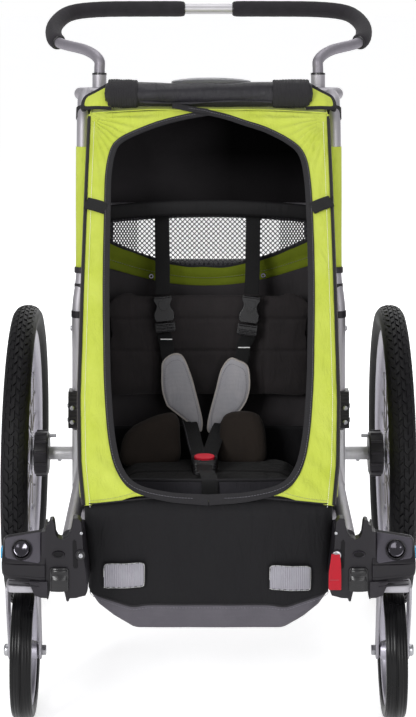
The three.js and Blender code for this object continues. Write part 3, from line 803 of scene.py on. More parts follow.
def build_handlebar():
    points = handlebar_points()
    ride(tube("push_bar", points, 9.5, PUSH_METAL), "handlebar", "handlebar", slot="silver_tube")
    run = [0.0]
    for a, b in zip(points, points[1:]):
        run.append(run[-1] + (b - a).length)
    first = next(i for i, d in enumerate(run) if d > 0.185 * run[-1])
    last = next(i for i, d in enumerate(run) if d > 0.47 * run[-1])
    middle = points[last - 2:len(points) - last + 2]
    ride(tube("push_bar_middle", middle, 9.9, BAR_METAL), "handlebar")
    for tag, s in (("R", 1), ("L", -1)):
        path = points[first:last] if s > 0 else list(reversed(points))[first:last]

        def radius(t):
            end = min(t, 1 - t) * 60
            ring = 0.35 * math.sin(t * 140)
            return 14.8 * (0.9 + 0.1 * min(1, end)) + ring * 0.3

        foam = tube(f"foam_grip_{tag}", path, radius, FOAM, 32)
        ride(foam, "handlebar", f"grip_{tag}", slot="foam")
        for where, name in ((0, "lower"), (-1, "upper")):
            step = (path[1] - path[0]) if where == 0 else (path[-2] - path[-1])
            ring = round_cap(f"grip_ring_{name}_{tag}", path[where], step.normalized(), 12.6, 5, GLOSS)
            ride(ring, "handlebar")


def hoop_points():
    """The upright hoop's centreline, from the left post round to the right one."""
    left = [(-POST_X, POST_Y, FOLD_Z + 12), (-POST_X, POST_Y, 420), (-POST_X, POST_Y, 505),
            (-216, -12, 570), (-216, -6, 700), (-216, 2, 800), (-216, 20, 840), (-214, 58, 858),
            (-188, 92, 858)]
    right = [(-x, y, z) for x, y, z in reversed(left)]
    return smooth(left + right, 14)


def socket_end(end, s):
    """One end of the left or right handlebar socket."""
    x, y, z = end
    return at(s * x, y, z)


def build_upright():
    parts = [tube("hoop", hoop_points(), TUBE_R, TUBE_METAL)]
    for tag, s in SIDES:
        parts.append(rod("side_bar", at(s * 214, -3, 752), at(s * 214, 92, 752), 8, TUBE_METAL))
        parts.append(block("lug", s * 215 - 8, s * 215 + 8, -10, 32, 659, 677, TUBE_METAL, 3))
        socket = [socket_end(end, s) for end in (SOCKET_LOW, SOCKET_TOP)]
        parts.append(sleeve("socket", *socket, 12.5, 10.1, TUBE_METAL))
    parts.append(rod("low_bar", at(-220, 88, 752), at(220, 88, 752), 8, TUBE_METAL))
    parts.append(rod("strap_bar", at(-212, 26, 668), at(212, 26, 668), 8, TUBE_METAL))
    ride(join("upright_tubes", parts), "upright", "upright_frame", slot="silver_tube")
    along = (at(*SOCKET_TOP) - at(*SOCKET_LOW)).normalized()
    for tag, s in SIDES:
        top = socket_end(SOCKET_TOP, s)
        collar = sleeve(f"socket_collar_{tag}", top - along * 0.0022, top + along * 0.0016, 13.0, 10.0, GLOSS)
        ride(collar, "upright")
        ride(round_cap(f"socket_foot_cap_{tag}", socket_end(SOCKET_LOW, s), -along, 13.4, 7), "upright")
        ride(round_cap(f"side_bar_cap_{tag}", at(s * 214, -3, 752), -Y, 9, 6), "upright")
        ride(round_cap(f"low_bar_cap_{tag}", at(s * 220, 88, 752), X * s, 9, 6), "upright")
        low, high = at(s * POST_X, POST_Y, 489), at(s * POST_X, POST_Y, 501)
        ride(sleeve(f"post_collar_{tag}", low, high, 12.6, 11.05, PLASTIC), "upright")
        screw_at = at(s * (POST_X + TUBE_R), POST_Y, 470)
        ride(screw_head(f"post_screw_{tag}", screw_at, X * s, 4.5, 3), "upright")
        for z in (540, 568):
            low, high = at(s * 217, -17, z - 5), at(s * 217, -16, z + 5)
            ride(sleeve(f"tube_clip_{z}_{tag}", low, high, 12.9, 11.2, PLASTIC), "upright")


def build_fold_locks():
    for tag, s in SIDES:
        x = s * POST_X
        outline = []
        ribs = 9
        low, high, depth = 302, 365, 16
        for face, begin, end in ((-1, low, high), (1, high, low)):
            for k in range(ribs * 4 + 1):
                z = begin + (end - begin) * k / (ribs * 4)
                ridge = 1.7 * (0.5 - 0.5 * math.cos(2 * math.pi * k / 4))
                taper = 2.5 * max(0, abs(k / (ribs * 4) - 0.5) * 2 - 0.85) / 0.15
                outline.append((POST_Y + face * (depth + ridge - taper), z))
        body = prism("lock_body", outline, lambda a, b, c: at(x - s * 14 + s * c, a, b), 31, PLASTIC, 1.4, 2)
        bore = rod("bore", at(x, POST_Y, low - 4), at(x, POST_Y, high + 4), TUBE_R + 0.6, PLASTIC, 40, 0.3)
        drill(body, [bore])
        parts = [body]
        for z in (314, 338):
            parts.append(screw_head("rivet", at(x + s * 10, POST_Y - 17.2, z), -Y, 4, 2.2))
            parts.append(screw_head("rivet", at(x + s * 17, POST_Y, z), X * s, 4, 2.2))
        ride(join(f"fold_lock_detail_{tag}", parts), f"fold_lock_{tag}", f"fold_lock_{tag}",
             slot="black_plastic")


# ---------------------------------------------------------------- rear wheels
def mirrored(half):
    """A wheel's profile from its left half of (radius, along), repeated on the right."""
    return list(half) + [(r, -along) for r, along in reversed(half)]


def build_rear_wheel(tag, s):
    body = f"rear_wheel_{tag}"
    centre = at(s * WHEEL_X, 0, AXLE_Z)
    profile = mirrored(((209.6, -10.8), (213, -13), (217, -17), (222, -20.2), (228, -22), (233, -22.4),
                        (238, -21.4), (242, -18.6), (244.6, -14), (246, -8), (246.5, -4)))
    tyre = lathe(f"tyre_case_{tag}", profile, centre, TYRE, "X", 128)
    parts = [tyre, tread_blocks(centre)]
    ride(join(f"rear_tyre_detail_{tag}", parts), body, f"rear_tyre_{tag}", slot="tyre")
    rim_profile = mirrored(((188.5, -5.5), (190, -8.5), (193.5, -11), (199, -12.4), (206, -12.8),
                            (208.6, -12.9), (209.2, -12.2)))
    rim = lathe("rim", rim_profile, centre, RIM_METAL, "X", 128)
    parts = [rim]
    valve = centre + Vector((0, 0.04, -0.183))
    parts.append(rod("valve", valve, valve + Vector((0, 0.0012, -0.020)), 2.4, STEEL, 16))
    cap_low, cap_high = valve + Vector((0, -0.0004, 0.012)), valve + Vector((0, -0.0014, 0.024))
    parts.append(rod("valve_cap", cap_low, cap_high, 3.4, GLOSS, 16))
    ride(join(f"rear_rim_detail_{tag}", parts), body, f"rear_rim_{tag}", slot="rim_metal")
    hub_profile = [(6.6, -11), (13, -11), (36, -10.6), (37, -9.6), (36, -8.4), (20, -7.6), (17.2, -5),
                   (15.4, 0), (17.2, 5), (20, 7.4), (24.4, 8), (25, 9.4), (24.4, 10.8), (15.4, 12.4),
                   (14.2, 15), (13.4, 18.4), (6.6, 18.4)]
    holes = []
    for k in range(6):
        angle = k * math.pi / 3
        hole_at = centre + Vector((0, math.sin(angle) * 0.0298, math.cos(angle) * 0.0298))
        holes.append(rod("hole", hole_at - X * s * 0.0135, hole_at - X * s * 0.0066, 4.6, RIM_METAL, 28, 0.3))
    parts = [drill(lathe("hub", hub_profile, centre, RIM_METAL, "X", 56, s), holes)]
    count = 28
    for k in range(count):
        rim_angle = (k + 0.5) * 2 * math.pi / count
        lean = (1 if k % 4 < 2 else -1) * 0.72
        near = -9 if k % 2 == 0 else 9.4
        reach = 35.4 if k % 2 == 0 else 21.5
        a = centre + Vector((s * near / 1000, math.sin(rim_angle + lean) * reach / 1000,
                             math.cos(rim_angle + lean) * reach / 1000))
        b = centre + Vector((0, math.sin(rim_angle) * 0.1878, math.cos(rim_angle) * 0.1878))
        parts.append(tube("spoke", [a, a.lerp(b, 0.5), b], 0.85, SPOKE, 8))
        parts.append(rod("nipple", a.lerp(b, 0.925), a.lerp(b, 0.999), 1.9, STEEL, 8, 0.3))
        parts.append(rod("head", a - X * s * 0.0018, a + X * s * 0.0018, 1.9, STEEL, 8, 0.4))
    ride(join(f"rear_hub_detail_{tag}", parts), body, f"rear_hub_{tag}", slot="rim_metal")
    a, b = at(s * (WHEEL_X + 12.5), 0, AXLE_Z), at(s * (WHEEL_X + 21), 0, AXLE_Z)
    button = rod(f"release_button_detail_{tag}", a, b, 5.6, GLOSS, 32, 1.4)
    ride(button, f"wheel_button_{tag}", f"wheel_release_button_{tag}", slot="black_plastic")


def tread_blocks(centre):
    """Zigzag blocks around the tyre: two centre rows and two shoulder rows, with grooves between."""
    verts, faces = [], []
    count = 76

    def lump(angle, across, length, width, slant, height):
        base = len(verts)
        for top in (0, 1):
            grow = 1 - 0.14 * top
            for u, v in ((-1, -1), (1, -1), (1, 1), (-1, 1)):
                x = across + v * width / 2 * grow
                bulge = abs(x) / 22.4
                radius = 226 + 20.5 * math.sqrt(max(0, 1 - bulge ** 2.6)) - 0.8 + top * height
                a = angle + (u * length / 2 * grow + v * slant) / 248
                verts.append(centre + Vector((x / 1000, math.sin(a) * radius / 1000,
                                              math.cos(a) * radius / 1000)))
        faces.extend([(base + 3, base + 2, base + 1, base), (base + 4, base + 5, base + 6, base + 7)])
        for k in range(4):
            faces.append((base + k, base + (k + 1) % 4, base + 4 + (k + 1) % 4, base + 4 + k))

    for k in range(count):
        angle = k * 2 * math.pi / count
        half = math.pi / count
        lump(angle, -3.7, 15.5, 5.6, 2.4, 3.8)
        lump(angle + half, 3.7, 15.5, 5.6, -2.4, 3.8)
        lump(angle + half, -11.4, 13, 6.2, -3, 3.8)
        lump(angle, 11.4, 13, 6.2, 3, 3.8)
        lump(angle, -18.2, 10.5, 4.6, 1.5, 4.2)
        lump(angle + half, 18.2, 10.5, 4.6, -1.5, 4.2)
    obj = add_mesh("tread", verts, faces, TYRE, 20)
    recalculate(obj)
    return obj


# ---------------------------------------------------------------- casters and their brackets
def build_caster(tag, s):
    centre = at(s * CASTER_X, CASTER_Y, CASTER_Z)
    profile = mirrored(((78.3, -10.5), (80, -13), (83, -14.8), (87, -15.8), (90.5, -15.8), (92.4, -15),
                        (93, -13.6), (94.4, -13.2), (95.4, -11.4), (95.2, -10), (96.2, -9.2), (97, -7),
                        (96.9, -5.6), (97.8, -4.6), (98, -1.4), (97.2, -0.7)))
    tyre = lathe(f"caster_tyre_detail_{tag}", profile, centre, CASTER_RUBBER, "X", 96)
    ride(tyre, f"caster_wheel_{tag}", f"caster_tyre_{tag}", slot="tyre")
    parts = [lathe("rim", [(68, -9), (70, -11.4), (77, -12.2), (77.9, -11.2), (77.9, 11.2), (77, 12.2),
                           (70, 11.4), (68, 9), (66.4, 4), (66.4, -4)], centre, RIM_METAL, "X", 96)]
    parts.append(lathe("hub", [(5.6, -18.6), (11, -18.6), (12.6, -17.4), (14.5, -8), (16, -5), (16, 5),
                               (14.5, 8), (12.6, 17.4), (11, 18.6), (5.6, 18.6)], centre, RIM_METAL, "X", 48))
    for k in range(5):
        angle = 2 * math.pi * k / 5 + 0.3
        out = Vector((0, math.sin(angle), math.cos(angle)))
        turn = Vector((0, math.cos(angle), -math.sin(angle)))
        rings = []
        stations = ((14, 9.5, 5), (24, 7.5, 4.2), (44, 6.5, 3.6), (60, 8, 4), (68, 12, 5.5))
        for reach, half_wide, half_deep in stations:
            ring = []
            for c in range(16):
                t = 2 * math.pi * c / 16
                u = math.copysign(abs(math.cos(t)) ** 0.6, math.cos(t)) * half_wide
                v = math.copysign(abs(math.sin(t)) ** 0.6, math.sin(t)) * half_deep
                ring.append(centre + out * (reach / 1000) + turn * (u / 1000) + X * (v / 1000))
            rings.append(ring)
        arm = loft("arm", rings, RIM_METAL)
        recalculate(arm)
        parts.append(arm)
    rim = join(f"caster_rim_detail_{tag}", parts)
    ride(rim, f"caster_wheel_{tag}", f"caster_rim_{tag}", slot="rim_metal")
    build_fork(tag, s, centre)


def build_fork(tag, s, centre):
    leg = [(-579, 206), (-577, 210), (-540, 210), (-538, 206)]
    for k in range(11):
        t = k / 10
        y = -538 + (CASTER_Y + 12.6 + 538) * t ** 1.2
        z = 206 + (CASTER_Z + 6 - 206) * t
        leg.append((y, z))
    for k in range(1, 15):
        a = 0.42 - (math.pi + 0.35) * k / 15
        leg.append((CASTER_Y + 13 * math.cos(a), CASTER_Z + 13 * math.sin(a)))
    for k in range(11):
        t = 1 - k / 10
        y = -579 + (CASTER_Y - 12 + 579) * t ** 1.2
        z = 206 + (CASTER_Z + 8 - 206) * t
        leg.append((y, z))
    parts = []
    for side in (-1, 1):
        x = s * CASTER_X + side * 20.5
        parts.append(prism("leg", leg, lambda a, b, c: at(x + side * c, a, b), 4, FORK, 1.2, 3))
    crown = []
    for k in range(28):
        a = 2 * math.pi * k / 28
        crown.append((math.copysign(abs(math.cos(a)) ** 0.45, math.cos(a)) * 24.5,
                      SWIVEL_Y - 1 + math.copysign(abs(math.sin(a)) ** 0.55, math.sin(a)) * 22))
    parts.append(prism("crown", crown, lambda a, b, c: at(s * CASTER_X + a, b, 202 + c), 11, FORK, 2.6, 3))
    top = at(s * CASTER_X, SWIVEL_Y, 212.4)
    parts.append(lathe("boss", [(8.2, 0), (15, 0), (13, 1.2), (8.2, 1.6)], top, FORK, "Z", 48))
    parts.append(rod("stem", at(s * CASTER_X, SWIVEL_Y, 207), at(s * CASTER_X, SWIVEL_Y, 254), 8, STEEL))
    ride(join(f"caster_fork_detail_{tag}", parts), f"caster_{tag}", f"caster_fork_{tag}", slot="fork_paint")
    out = X * s
    parts = [rod("shank", centre - out * 0.026, centre + out * 0.026, 5, STEEL)]
    parts.append(screw_head("head", centre + out * 0.0256, out, 8.6, 6))
    parts.append(rod("washer", centre + out * 0.0246, centre + out * 0.0258, 10, STEEL))
    nut = rod("nut", centre - out * 0.0252, centre - out * 0.031, 8, STEEL, 6, 0.5)
    parts.append(nut)
    for side in (-1, 1):
        a = centre + out * (side * 0.0188)
        parts.append(rod("spacer", a, centre + out * (side * 0.0203), 8.5, GLOSS))
    ride(join(f"caster_bolt_detail_{tag}", parts), f"caster_{tag}", f"caster_bolt_{tag}", slot="bolt_steel")


# ---------------------------------------------------------------- the fabric body
BACK_Y = 64
BODY_KEYS = ((-530, 183.5), (-522, 184.5), (-470, 194), (-400, 199.5), (-250, 202), (-120, 203), (80, 203))


def half_width(y):
    """Half the fabric body's width at y mm behind the axle."""
    for (y0, w0), (y1, w1) in zip(BODY_KEYS, BODY_KEYS[1:]):
        if y <= y1:
            return w0 + (w1 - w0) * (y - y0) / (y1 - y0)
    return BODY_KEYS[-1][1]


def front_y(z):
    """Where the sloping front of the body is at height z."""
    return (z - 872.6) / 1.085


FRONT_OUT = Vector((0, -1.085, 1)).normalized()


def fold_share(y, z):
    """0 for cloth that stays with the base, 1 for cloth that turns with the upright frame."""
    angle = math.atan2(z - FOLD_Z, -(y - POST_Y))
    if angle < 0:
        return clamp((y - POST_Y + 10) / 50)
    return clamp(angle / (math.pi / 2))


def drape(obj, *nodes, slot=None, hold=None):
    """Bakes the cloth's modifiers and place into its mesh and hides the CAD nodes it stands for; each point's
    fold share, from the nose up to the posts, is worked out but not applied.

    hold(x, y) from 0 to 1 says how free each place is: 0 keeps it with the base. It is called for each point,
    but its result is not used.
    """
    apply_modifiers(obj)
    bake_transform(obj)
    for vertex in obj.data.vertices:
        x, y, z = in_mm(vertex.co)
        fold_share(y, z) * (hold(x, y) if hold else 1)
    if nodes:
        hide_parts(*nodes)
    return obj


ARCH_LEFT = ((0, 317), (-62, 321), (-110, 332), (-134, 354), (-147, 391), (-155.5, 450), (-160, 510),
             (-164.5, 596), (-166.5, 690), (-167, 745), (-161, 779), (-150, 794), (-126, 806), (-83, 821),
             (-40, 831), (0, 837.5))
ARCH_RIGHT = ((0, 317), (62, 321), (110, 332), (134, 354), (147, 391), (155.5, 450), (160, 510),
              (164.5, 596), (165.5, 690), (163, 745), (155, 775), (135, 793), (97, 811), (60, 822),
              (30, 831), (0, 837.5))
OUTER_EDGE = ((0, 316.9), (66, 320.6), (106, 323), (146, 314.5), (None, 312), (None, 400), (None, 490),
              (None, 590), (None, 690), (None, 750), (None, 790), (None, 820), (202.5, 838), (150, 841),
              (75, 843), (0, 844))
PER_SPAN = 16


def arch_curve(keys):
    return catmull([Vector((x, z, 0)) for x, z in keys], PER_SPAN)


def outer_curve(s):
    keys = [Vector((half_width(front_y(z)) if x is None else x, z, 0)) for x, z in OUTER_EDGE]
    points = catmull(keys, PER_SPAN)
    for i, p in enumerate(points):
        if 3 * PER_SPAN <= i < 4 * PER_SPAN:
            part = i / PER_SPAN - 3
            p.x, p.y = keys[3].x + (keys[4].x - keys[3].x) * part, keys[3].y + (keys[4].y - keys[3].y) * part
        if 4 * PER_SPAN <= i <= 11 * PER_SPAN:
            p.x = half_width(front_y(p.y))
        p.x *= s
    return points


def front_strip(s):
    """One side of the lime front: cloth from the arch out to the body's corner."""
    inner = arch_curve(ARCH_LEFT if s < 0 else ARCH_RIGHT)
    outer = outer_curve(s)
    rows = []
    across = 14
    for a, b in zip(inner, outer):
        row = []
        for k in range(across + 1):
            v = k / across
            x, z = a.x + (b.x - a.x) * v, a.y + (b.y - a.y) * v
            base = at(x, front_y(min(z, 842)), z)
            slack = min(1, (b - a).length / 45)
            puff = 3.2 * slack * math.sin(math.pi * min(1, v * 1.05)) - 2.4 * max(0, v - 0.86) / 0.14
            low = max(0, 1 - (z - 303) / 170)
            crease = 2.2 * low * math.sin(x * 0.14 + z * 0.19) * math.sin(math.pi * v)
            high = max(0, (z - 690) / 150)
            fan = math.atan2(z - 830, abs(x) - 205)
            crease += 2.2 * min(1, high * 1.6) * math.sin(fan * 34) * math.sin(math.pi * v)
            crease += 1.6 * wobble((x, z, 0), 0.02, 3) * math.sin(math.pi * v)
            slant = z * 0.8 + abs(x) * 0.6
            crease += 1.5 * wobble((slant, abs(x) * 0.25, 0), 0.075, 21) * math.sin(math.pi * v)
            row.append(base + FRONT_OUT * ((puff + crease * slack) / 1000))
        rows.append(row)
    return sheet("front", rows, LIME, 1.4, inner=WALL, out=FRONT_OUT)


def corner_path(s):
    """The line where the front meets the side, from the hem up to the roof."""
    return [at(s * half_width(front_y(z)), front_y(z), z) for z in np.linspace(312, 832, 90)]


def ring_panel(name, inner, outer, rows, shape, material, lining, out):
    """Cloth between two closed outlines with the same number of points, through shape(a, b)."""
    n = len(inner)
    grid = []
    for k in range(rows + 1):
        v = k / rows
        grid.append([shape(inner[i][0] + (outer[i][0] - inner[i][0]) * v,
                           inner[i][1] + (outer[i][1] - inner[i][1]) * v, v) for i in range(n)])
    return sheet(name, grid, material, 1.4, inner=lining, closed=True, out=out)


def loop(keys, per_span):
    """A closed polygon cut into even steps: the same number on each of its sides."""
    points = []
    n = len(keys)
    for i in range(n):
        (a0, b0), (a1, b1) = keys[i], keys[(i + 1) % n]
        points += [(a0 + (a1 - a0) * k / per_span, b0 + (b1 - b0) * k / per_span) for k in range(per_span)]
    return points


SIDE_OUTER = ((front_y(312), 312), (front_y(420), 420), (front_y(600), 600), (front_y(765), 765),
              (front_y(838), 838), (20, 845), (BACK_Y - 6, 840), (BACK_Y, 765), (BACK_Y, 600), (BACK_Y, 420),
              (BACK_Y - 4, 306), (-120, 307), (-330, 309))
SIDE_WINDOW = ((-366, 430), (-350, 447), (-222, 588), (-96, 726), (-76, 745), (-66, 748), (-60, 740),
               (-57, 700), (-57, 600), (-57, 450), (-64, 426), (-150, 424), (-330, 424))


def side_shape(s):
    def place(y, z, v):
        x = half_width(y)
        inward = 2.6 * math.sin(math.pi * clamp((z - 306) / 534)) * math.sin(math.pi * v)
        ripple = 1.3 * wobble((y, z, s), 0.012, 8) * math.sin(math.pi * v)
        top = 3 * max(0, (z - 830) / 15) ** 2
        return at(s * (x - inward + ripple - top), y, z)
    return place


def build_side(tag, s):
    outer = loop(SIDE_OUTER, 8)
    inner = loop(SIDE_WINDOW, 8)
    panel = ring_panel("side", inner, outer, 12, side_shape(s), LIME, WALL, X * s)
    film_rows = []
    cy, cz = -130, 560
    for k in range(7):
        v = k / 6
        film_rows.append([at(s * (half_width(cy + (y - cy) * v) - 2.6 * (1 - v)), cy + (y - cy) * v,
                             cz + (z - cz) * v) for y, z in inner])
    film = sheet(f"side_window_film_{tag}", film_rows[1:], FILM, 0.8, 0, closed=True)
    centre = add_mesh("film_centre", film_rows[1], [tuple(range(len(inner)))], FILM, None)
    modifier(centre, "SOLIDIFY", "film", thickness=0.0008, offset=0)
    film = join(f"side_window_film_{tag}", [film, centre])
    drape(film, f"side_window_{tag}", slot="window_vinyl")
    edge = [at(s * (half_width(y) + 0.2), y, z) for y, z in inner]
    bind = strap(f"side_window_binding_{tag}", edge, X * s, 11, 2.0, BINDING, closed=True)
    drape(bind)
    thread = stitches(f"side_window_stitch_{tag}", edge + edge[:1], X * s, DARK_THREAD, 5, 3, 0.8, 1.3)
    drape(thread)
    return panel


RIM_HALF = 184.5
GUSSET_FRONT, GUSSET_BACK, GUSSET_INSIDE = -470, -50, 3.2


def hem_height(y):
    """The lower edge of the side cloth, rising slightly towards the nose."""
    return 306 + 6 * clamp((-100 - y) / 370)


def build_side_gusset(tag, s):
    """Cloth that closes the step between the tub's rim and the hem of the side."""
    rows = []
    for k in range(7):
        row = []
        for y in np.linspace(GUSSET_FRONT, GUSSET_BACK, 64):
            outer = half_width(y) - GUSSET_INSIDE
            section = ((179.4, 298), (179.4, 303), (179.8, 307), (183, 309), (RIM_HALF + 1.5, 309.5),
                       ((RIM_HALF + outer) / 2, 309.5), (outer, hem_height(y) + 4))
            row.append(at(s * section[k][0], y, section[k][1]))
        rows.append(row)

    def free(x, y):
        return clamp((abs(x) - RIM_HALF) / (half_width(y) - GUSSET_INSIDE - RIM_HALF))

    drape(sheet(f"side_gusset_{tag}", rows, LINING, 1.0, 0), hold=free)


def roof():
    rows = []
    for i in range(15):
        u = i / 14
        row = []
        for k in range(61):
            x = -202.5 + 405 * k / 60
            edge = abs(x) / 202.5
            z_front = 844 - 6 * edge ** 3
            y = -31 + (BACK_Y - 4 + 31) * u
            z = z_front + 4.5 * math.sin(math.pi * u) * (1 - edge ** 4) - 3 * u
            z += 0.9 * wobble((x, y, 0), 0.02, 12)
            row.append(at(x, y, z))
        rows.append(row)
    return sheet("roof", rows, LIME, 1.4, inner=LINING, out=Z)


NET_HALF = 172


def net_low(x):
    """The sagging lower edge of the rear net."""
    return 557 + 47 * (abs(x + 4) / 176) ** 2


def net_high(x):
    """Its gently arched upper edge."""
    return 649.5 - 9.5 * (abs(x) / NET_HALF) ** 2


def rear_shape(x, z, v):
    wave = 1.4 * wobble((x, z, 5), 0.011, 21)
    return at(x, BACK_Y - 1 + wave - 4 * max(0, abs(x) / 203 - 0.94) / 0.06, z)


def build_rear():
    half, corner = NET_HALF, BODY_KEYS[-1][1]
    xs = np.linspace(-half, half, 33)
    side_steps = np.linspace(net_high(half), net_low(half), 7)[1:-1]
    inner = [(x, net_high(x)) for x in xs] + [(half, z) for z in side_steps]
    inner += [(x, net_low(x)) for x in reversed(xs)]
    inner += [(-half, z) for z in np.linspace(net_low(half), net_high(half), 7)[1:-1]]
    outer = []
    for x, z in inner:
        if z >= net_high(x) - 0.01:
            outer.append((x * corner / half, 838))
        elif abs(abs(x) - half) < 0.01:
            share = (z - net_low(half)) / (net_high(half) - net_low(half))
            outer.append((math.copysign(corner, x), 306 + (838 - 306) * share))
        else:
            outer.append((x * corner / half, 306))
    panel = ring_panel("rear", inner, outer, 22, rear_shape, LIME, LINING, Y)
    build_net(half)
    edge = [rear_shape(x, z, 0) + Y * 0.001 for x, z in inner]
    bind = strap("rear_window_binding", edge, Y, 10, 2.2, BINDING, closed=True)
    ride(bind, "upright")
    return panel


def net_x(u, half):
    """Squeezes the net's threads together towards the sides, where it curves round."""
    calm = half * 0.72
    a = abs(u)
    if a > calm:
        a = calm + (a - calm) * 0.62
    return math.copysign(a, u)


def build_net(half):
    """Crossed diagonal threads filling the rear window."""
    pitch = 8.3
    verts, faces = [], []
    for lean in (1, -1):
        start = -int(350 / pitch)
        for k in range(start, -start + 1):
            run = []
            for z in np.linspace(550, 654, 40):
                u = k * pitch + lean * (z - 550)
                x = net_x(u, half)
                inside = abs(x) < half + 1 and net_low(x) - 2 < z < net_high(x) + 2
                if inside:
                    run.append((x, z))
                elif run:
                    net_thread(verts, faces, run, lean)
                    run = []
            if run:
                net_thread(verts, faces, run, lean)
    net = add_mesh("rear_net", verts, faces, NET, None)
    ride(net, "upright", "rear_window", slot="net")


def net_thread(verts, faces, run, lean):
    if len(run) < 3:
        return
    base = len(verts)
    for i, (x, z) in enumerate(run):
        weave_height = 0.35 * math.sin(i * 1.3 + lean)
        for dx, dy in ((-1.25, 0), (0, -0.55), (1.25, 0), (0, 0.55)):
            verts.append(at(x + dx, BACK_Y - 2 + dy + weave_height, z))
    size = 4
    faces += [tuple(base + v for v in f) for f in bridge_rings(len(run), size)]
    last = base + (len(run) - 1) * size
    faces += [(base + 3, base + 2, base + 1, base), (last, last + 1, last + 2, last + 3)]


def build_canopy():
    parts = [front_strip(-1), front_strip(1), roof(), build_rear()]
    parts += [build_side(tag, s) for tag, s in SIDES]
    for tag, s in SIDES:
        build_side_gusset(tag, s)
    body = join("canopy_cloth", parts)
    body.modifiers.clear()
    body.data.set_sharp_from_angle(angle=math.radians(75))
    drape(body, "canopy", slot="lime_fabric")
    build_front_trim()
    build_corner_flaps()


def on_front(x, z, lift=1.4):
    return at(x, front_y(min(z, 842)), z) + FRONT_OUT * (lift / 1000)


def build_front_trim():
    left = [on_front(p.x, p.y, 1.6) for p in arch_curve(ARCH_LEFT)]
    right = [on_front(p.x, p.y, 2.0) for p in arch_curve(ARCH_RIGHT)]
    tail = catmull([(0, 837.5, 0), (-20, 840, 0), (-40, 843.5, 0), (-62, 848.5, 0)], 6)
    right += [on_front(p.x, min(p.y, 848), 4.2 if i else 3) for i, p in enumerate(tail)][1:]

    def tape(t):
        return 17.5 - 6.5 * min(1, t * 5)

    for tag, path in (("L", left), ("R", right)):
        bind = strap(f"arch_binding_{tag}", path, FRONT_OUT, tape, 3.4, BINDING)
        drape(bind)
        outside = [p + (Vector((p.x, 0, 0)).normalized() if abs(p.x) > 0.03 else Vector()) * 0.0032
                   for p in path[6:-8]]
        thread = stitches(f"arch_stitch_{tag}", outside, FRONT_OUT, DARK_THREAD, 4.4, 2.8, 0.7, 2.0)
        drape(thread)
    for tag, s in SIDES:
        path = corner_path(s)
        out = (X * s + FRONT_OUT).normalized()
        cord = tube(f"corner_cord_{tag}", [p - out * 0.0002 for p in path], 2.2, BINDING, 10)
        drape(cord)
        beside = [p + Vector((s * 0.0026, 0.006, -0.002)) for p in path]
        drape(strap(f"corner_tape_{tag}", beside, (X * s - Y * 0.2).normalized(), 13, 1.6, CORNER_TAPE))
        seam = [at(s * (half_width(front_y(z)) - 9), front_y(z), z) + FRONT_OUT * 0.0022
                for z in np.linspace(308, 826, 110)]
        drape(stitches(f"front_seam_{tag}", seam, FRONT_OUT, THREAD, 3.6, 2.4, 0.6, 0.9))
        low_edge = ((110, 325), (128, 321), (150, 317.5), (180, 315))
        hem = catmull([on_front(s * x, z, 3.4) for x, z in low_edge], 8)
        drape(stitches(f"front_hem_stitch_{tag}", hem, FRONT_OUT, DARK_THREAD, 3.6, 2.4, 0.6, 0.5))
        climb = 8 if s < 0 else 11
        across = [on_front(s * (169 + 33 * v), 694 + climb * v, 3.6 + 1.4 * math.sin(math.pi * v))
                  for v in np.linspace(0, 1, 12)]
        drape(strap(f"front_band_{tag}", across, FRONT_OUT, 23, 1.6, WEB))
        level = 702 if s < 0 else 705
        back = [at(s * (half_width(y) + 1.0), y, level) for y in np.linspace(front_y(level) + 1, -80, 8)]
        drape(strap(f"side_band_{tag}", back, X * s, 23, 1.6, WEB))


def build_corner_flaps():
    """Lime corners that reach from the roof over the top tube, edged in black and tied round the tube."""
    for tag, s in SIDES:
        corners = [at(s * 166, -22, 845), at(s * 214, -16, 846), at(s * 212, 2, 860), at(s * 174, 6, 882)]
        rows = []
        for i in range(9):
            u = i / 8
            a, b = corners[0].lerp(corners[3], u), corners[1].lerp(corners[2], u)
            rows.append([a.lerp(b, v) + Vector((0, -0.006 * math.sin(math.pi * v) * math.sin(math.pi * u), 0))
                         for v in np.linspace(0, 1, 9)])
        facing = Vector((s * 0.3, -0.85, 0.4)).normalized()
        # the flap's underside is the lime cloth with painted shade
        flap = sheet("flap", rows, LIME, 1.6, 0, LIME_PAINTED_SHADE, out=facing)
        edge = [corners[0], corners[0].lerp(corners[1], 0.5), corners[1], corners[2],
                corners[2].lerp(corners[3], 0.5), corners[3]]
        bind = strap("edge", catmull(edge, 6), facing, 6, 2.8, BINDING)
        tie = sleeve("tie", at(s * 216, 11, 822), at(s * 216, 21, 841), 12.9, 11.1, BINDING)
        knot = rod("knot", at(s * 213, -2, 838), at(s * 217, -5, 849), 5, BINDING, 20, 2)
        ride(join(f"corner_flap_{tag}", [flap, bind, tie, knot]), "upright")
        path = [p for p in hoop_points() if s * p.x > 0.1 and 0.562 < p.z < 0.782]
        ride(tube(f"tube_sleeve_{tag}", path, 12.2, LIME, 40), "upright")


# ---------------------------------------------------------------- the foot tub
TUB_FRONT = ((304, -522, 184.5), (270, -518, 185.5), (235, -514.5, 183), (200, -510.5, 180),
             (182, -508.5, 180.5), (172, -507, 174.5), (158, -505.5, 165), (140, -502.5, 143),
             (123, -496, 118))
TUB_SIDE_STEPS = (40, 46, 40, 24)


def tub_size(z):
    for (z0, y0, w0), (z1, y1, w1) in zip(TUB_FRONT, TUB_FRONT[1:]):
        if z >= z1:
            t = (z0 - min(z, z0)) / (z0 - z1)
            return y0 + (y1 - y0) * t, w0 + (w1 - w0) * t
    return TUB_FRONT[-1][1:]


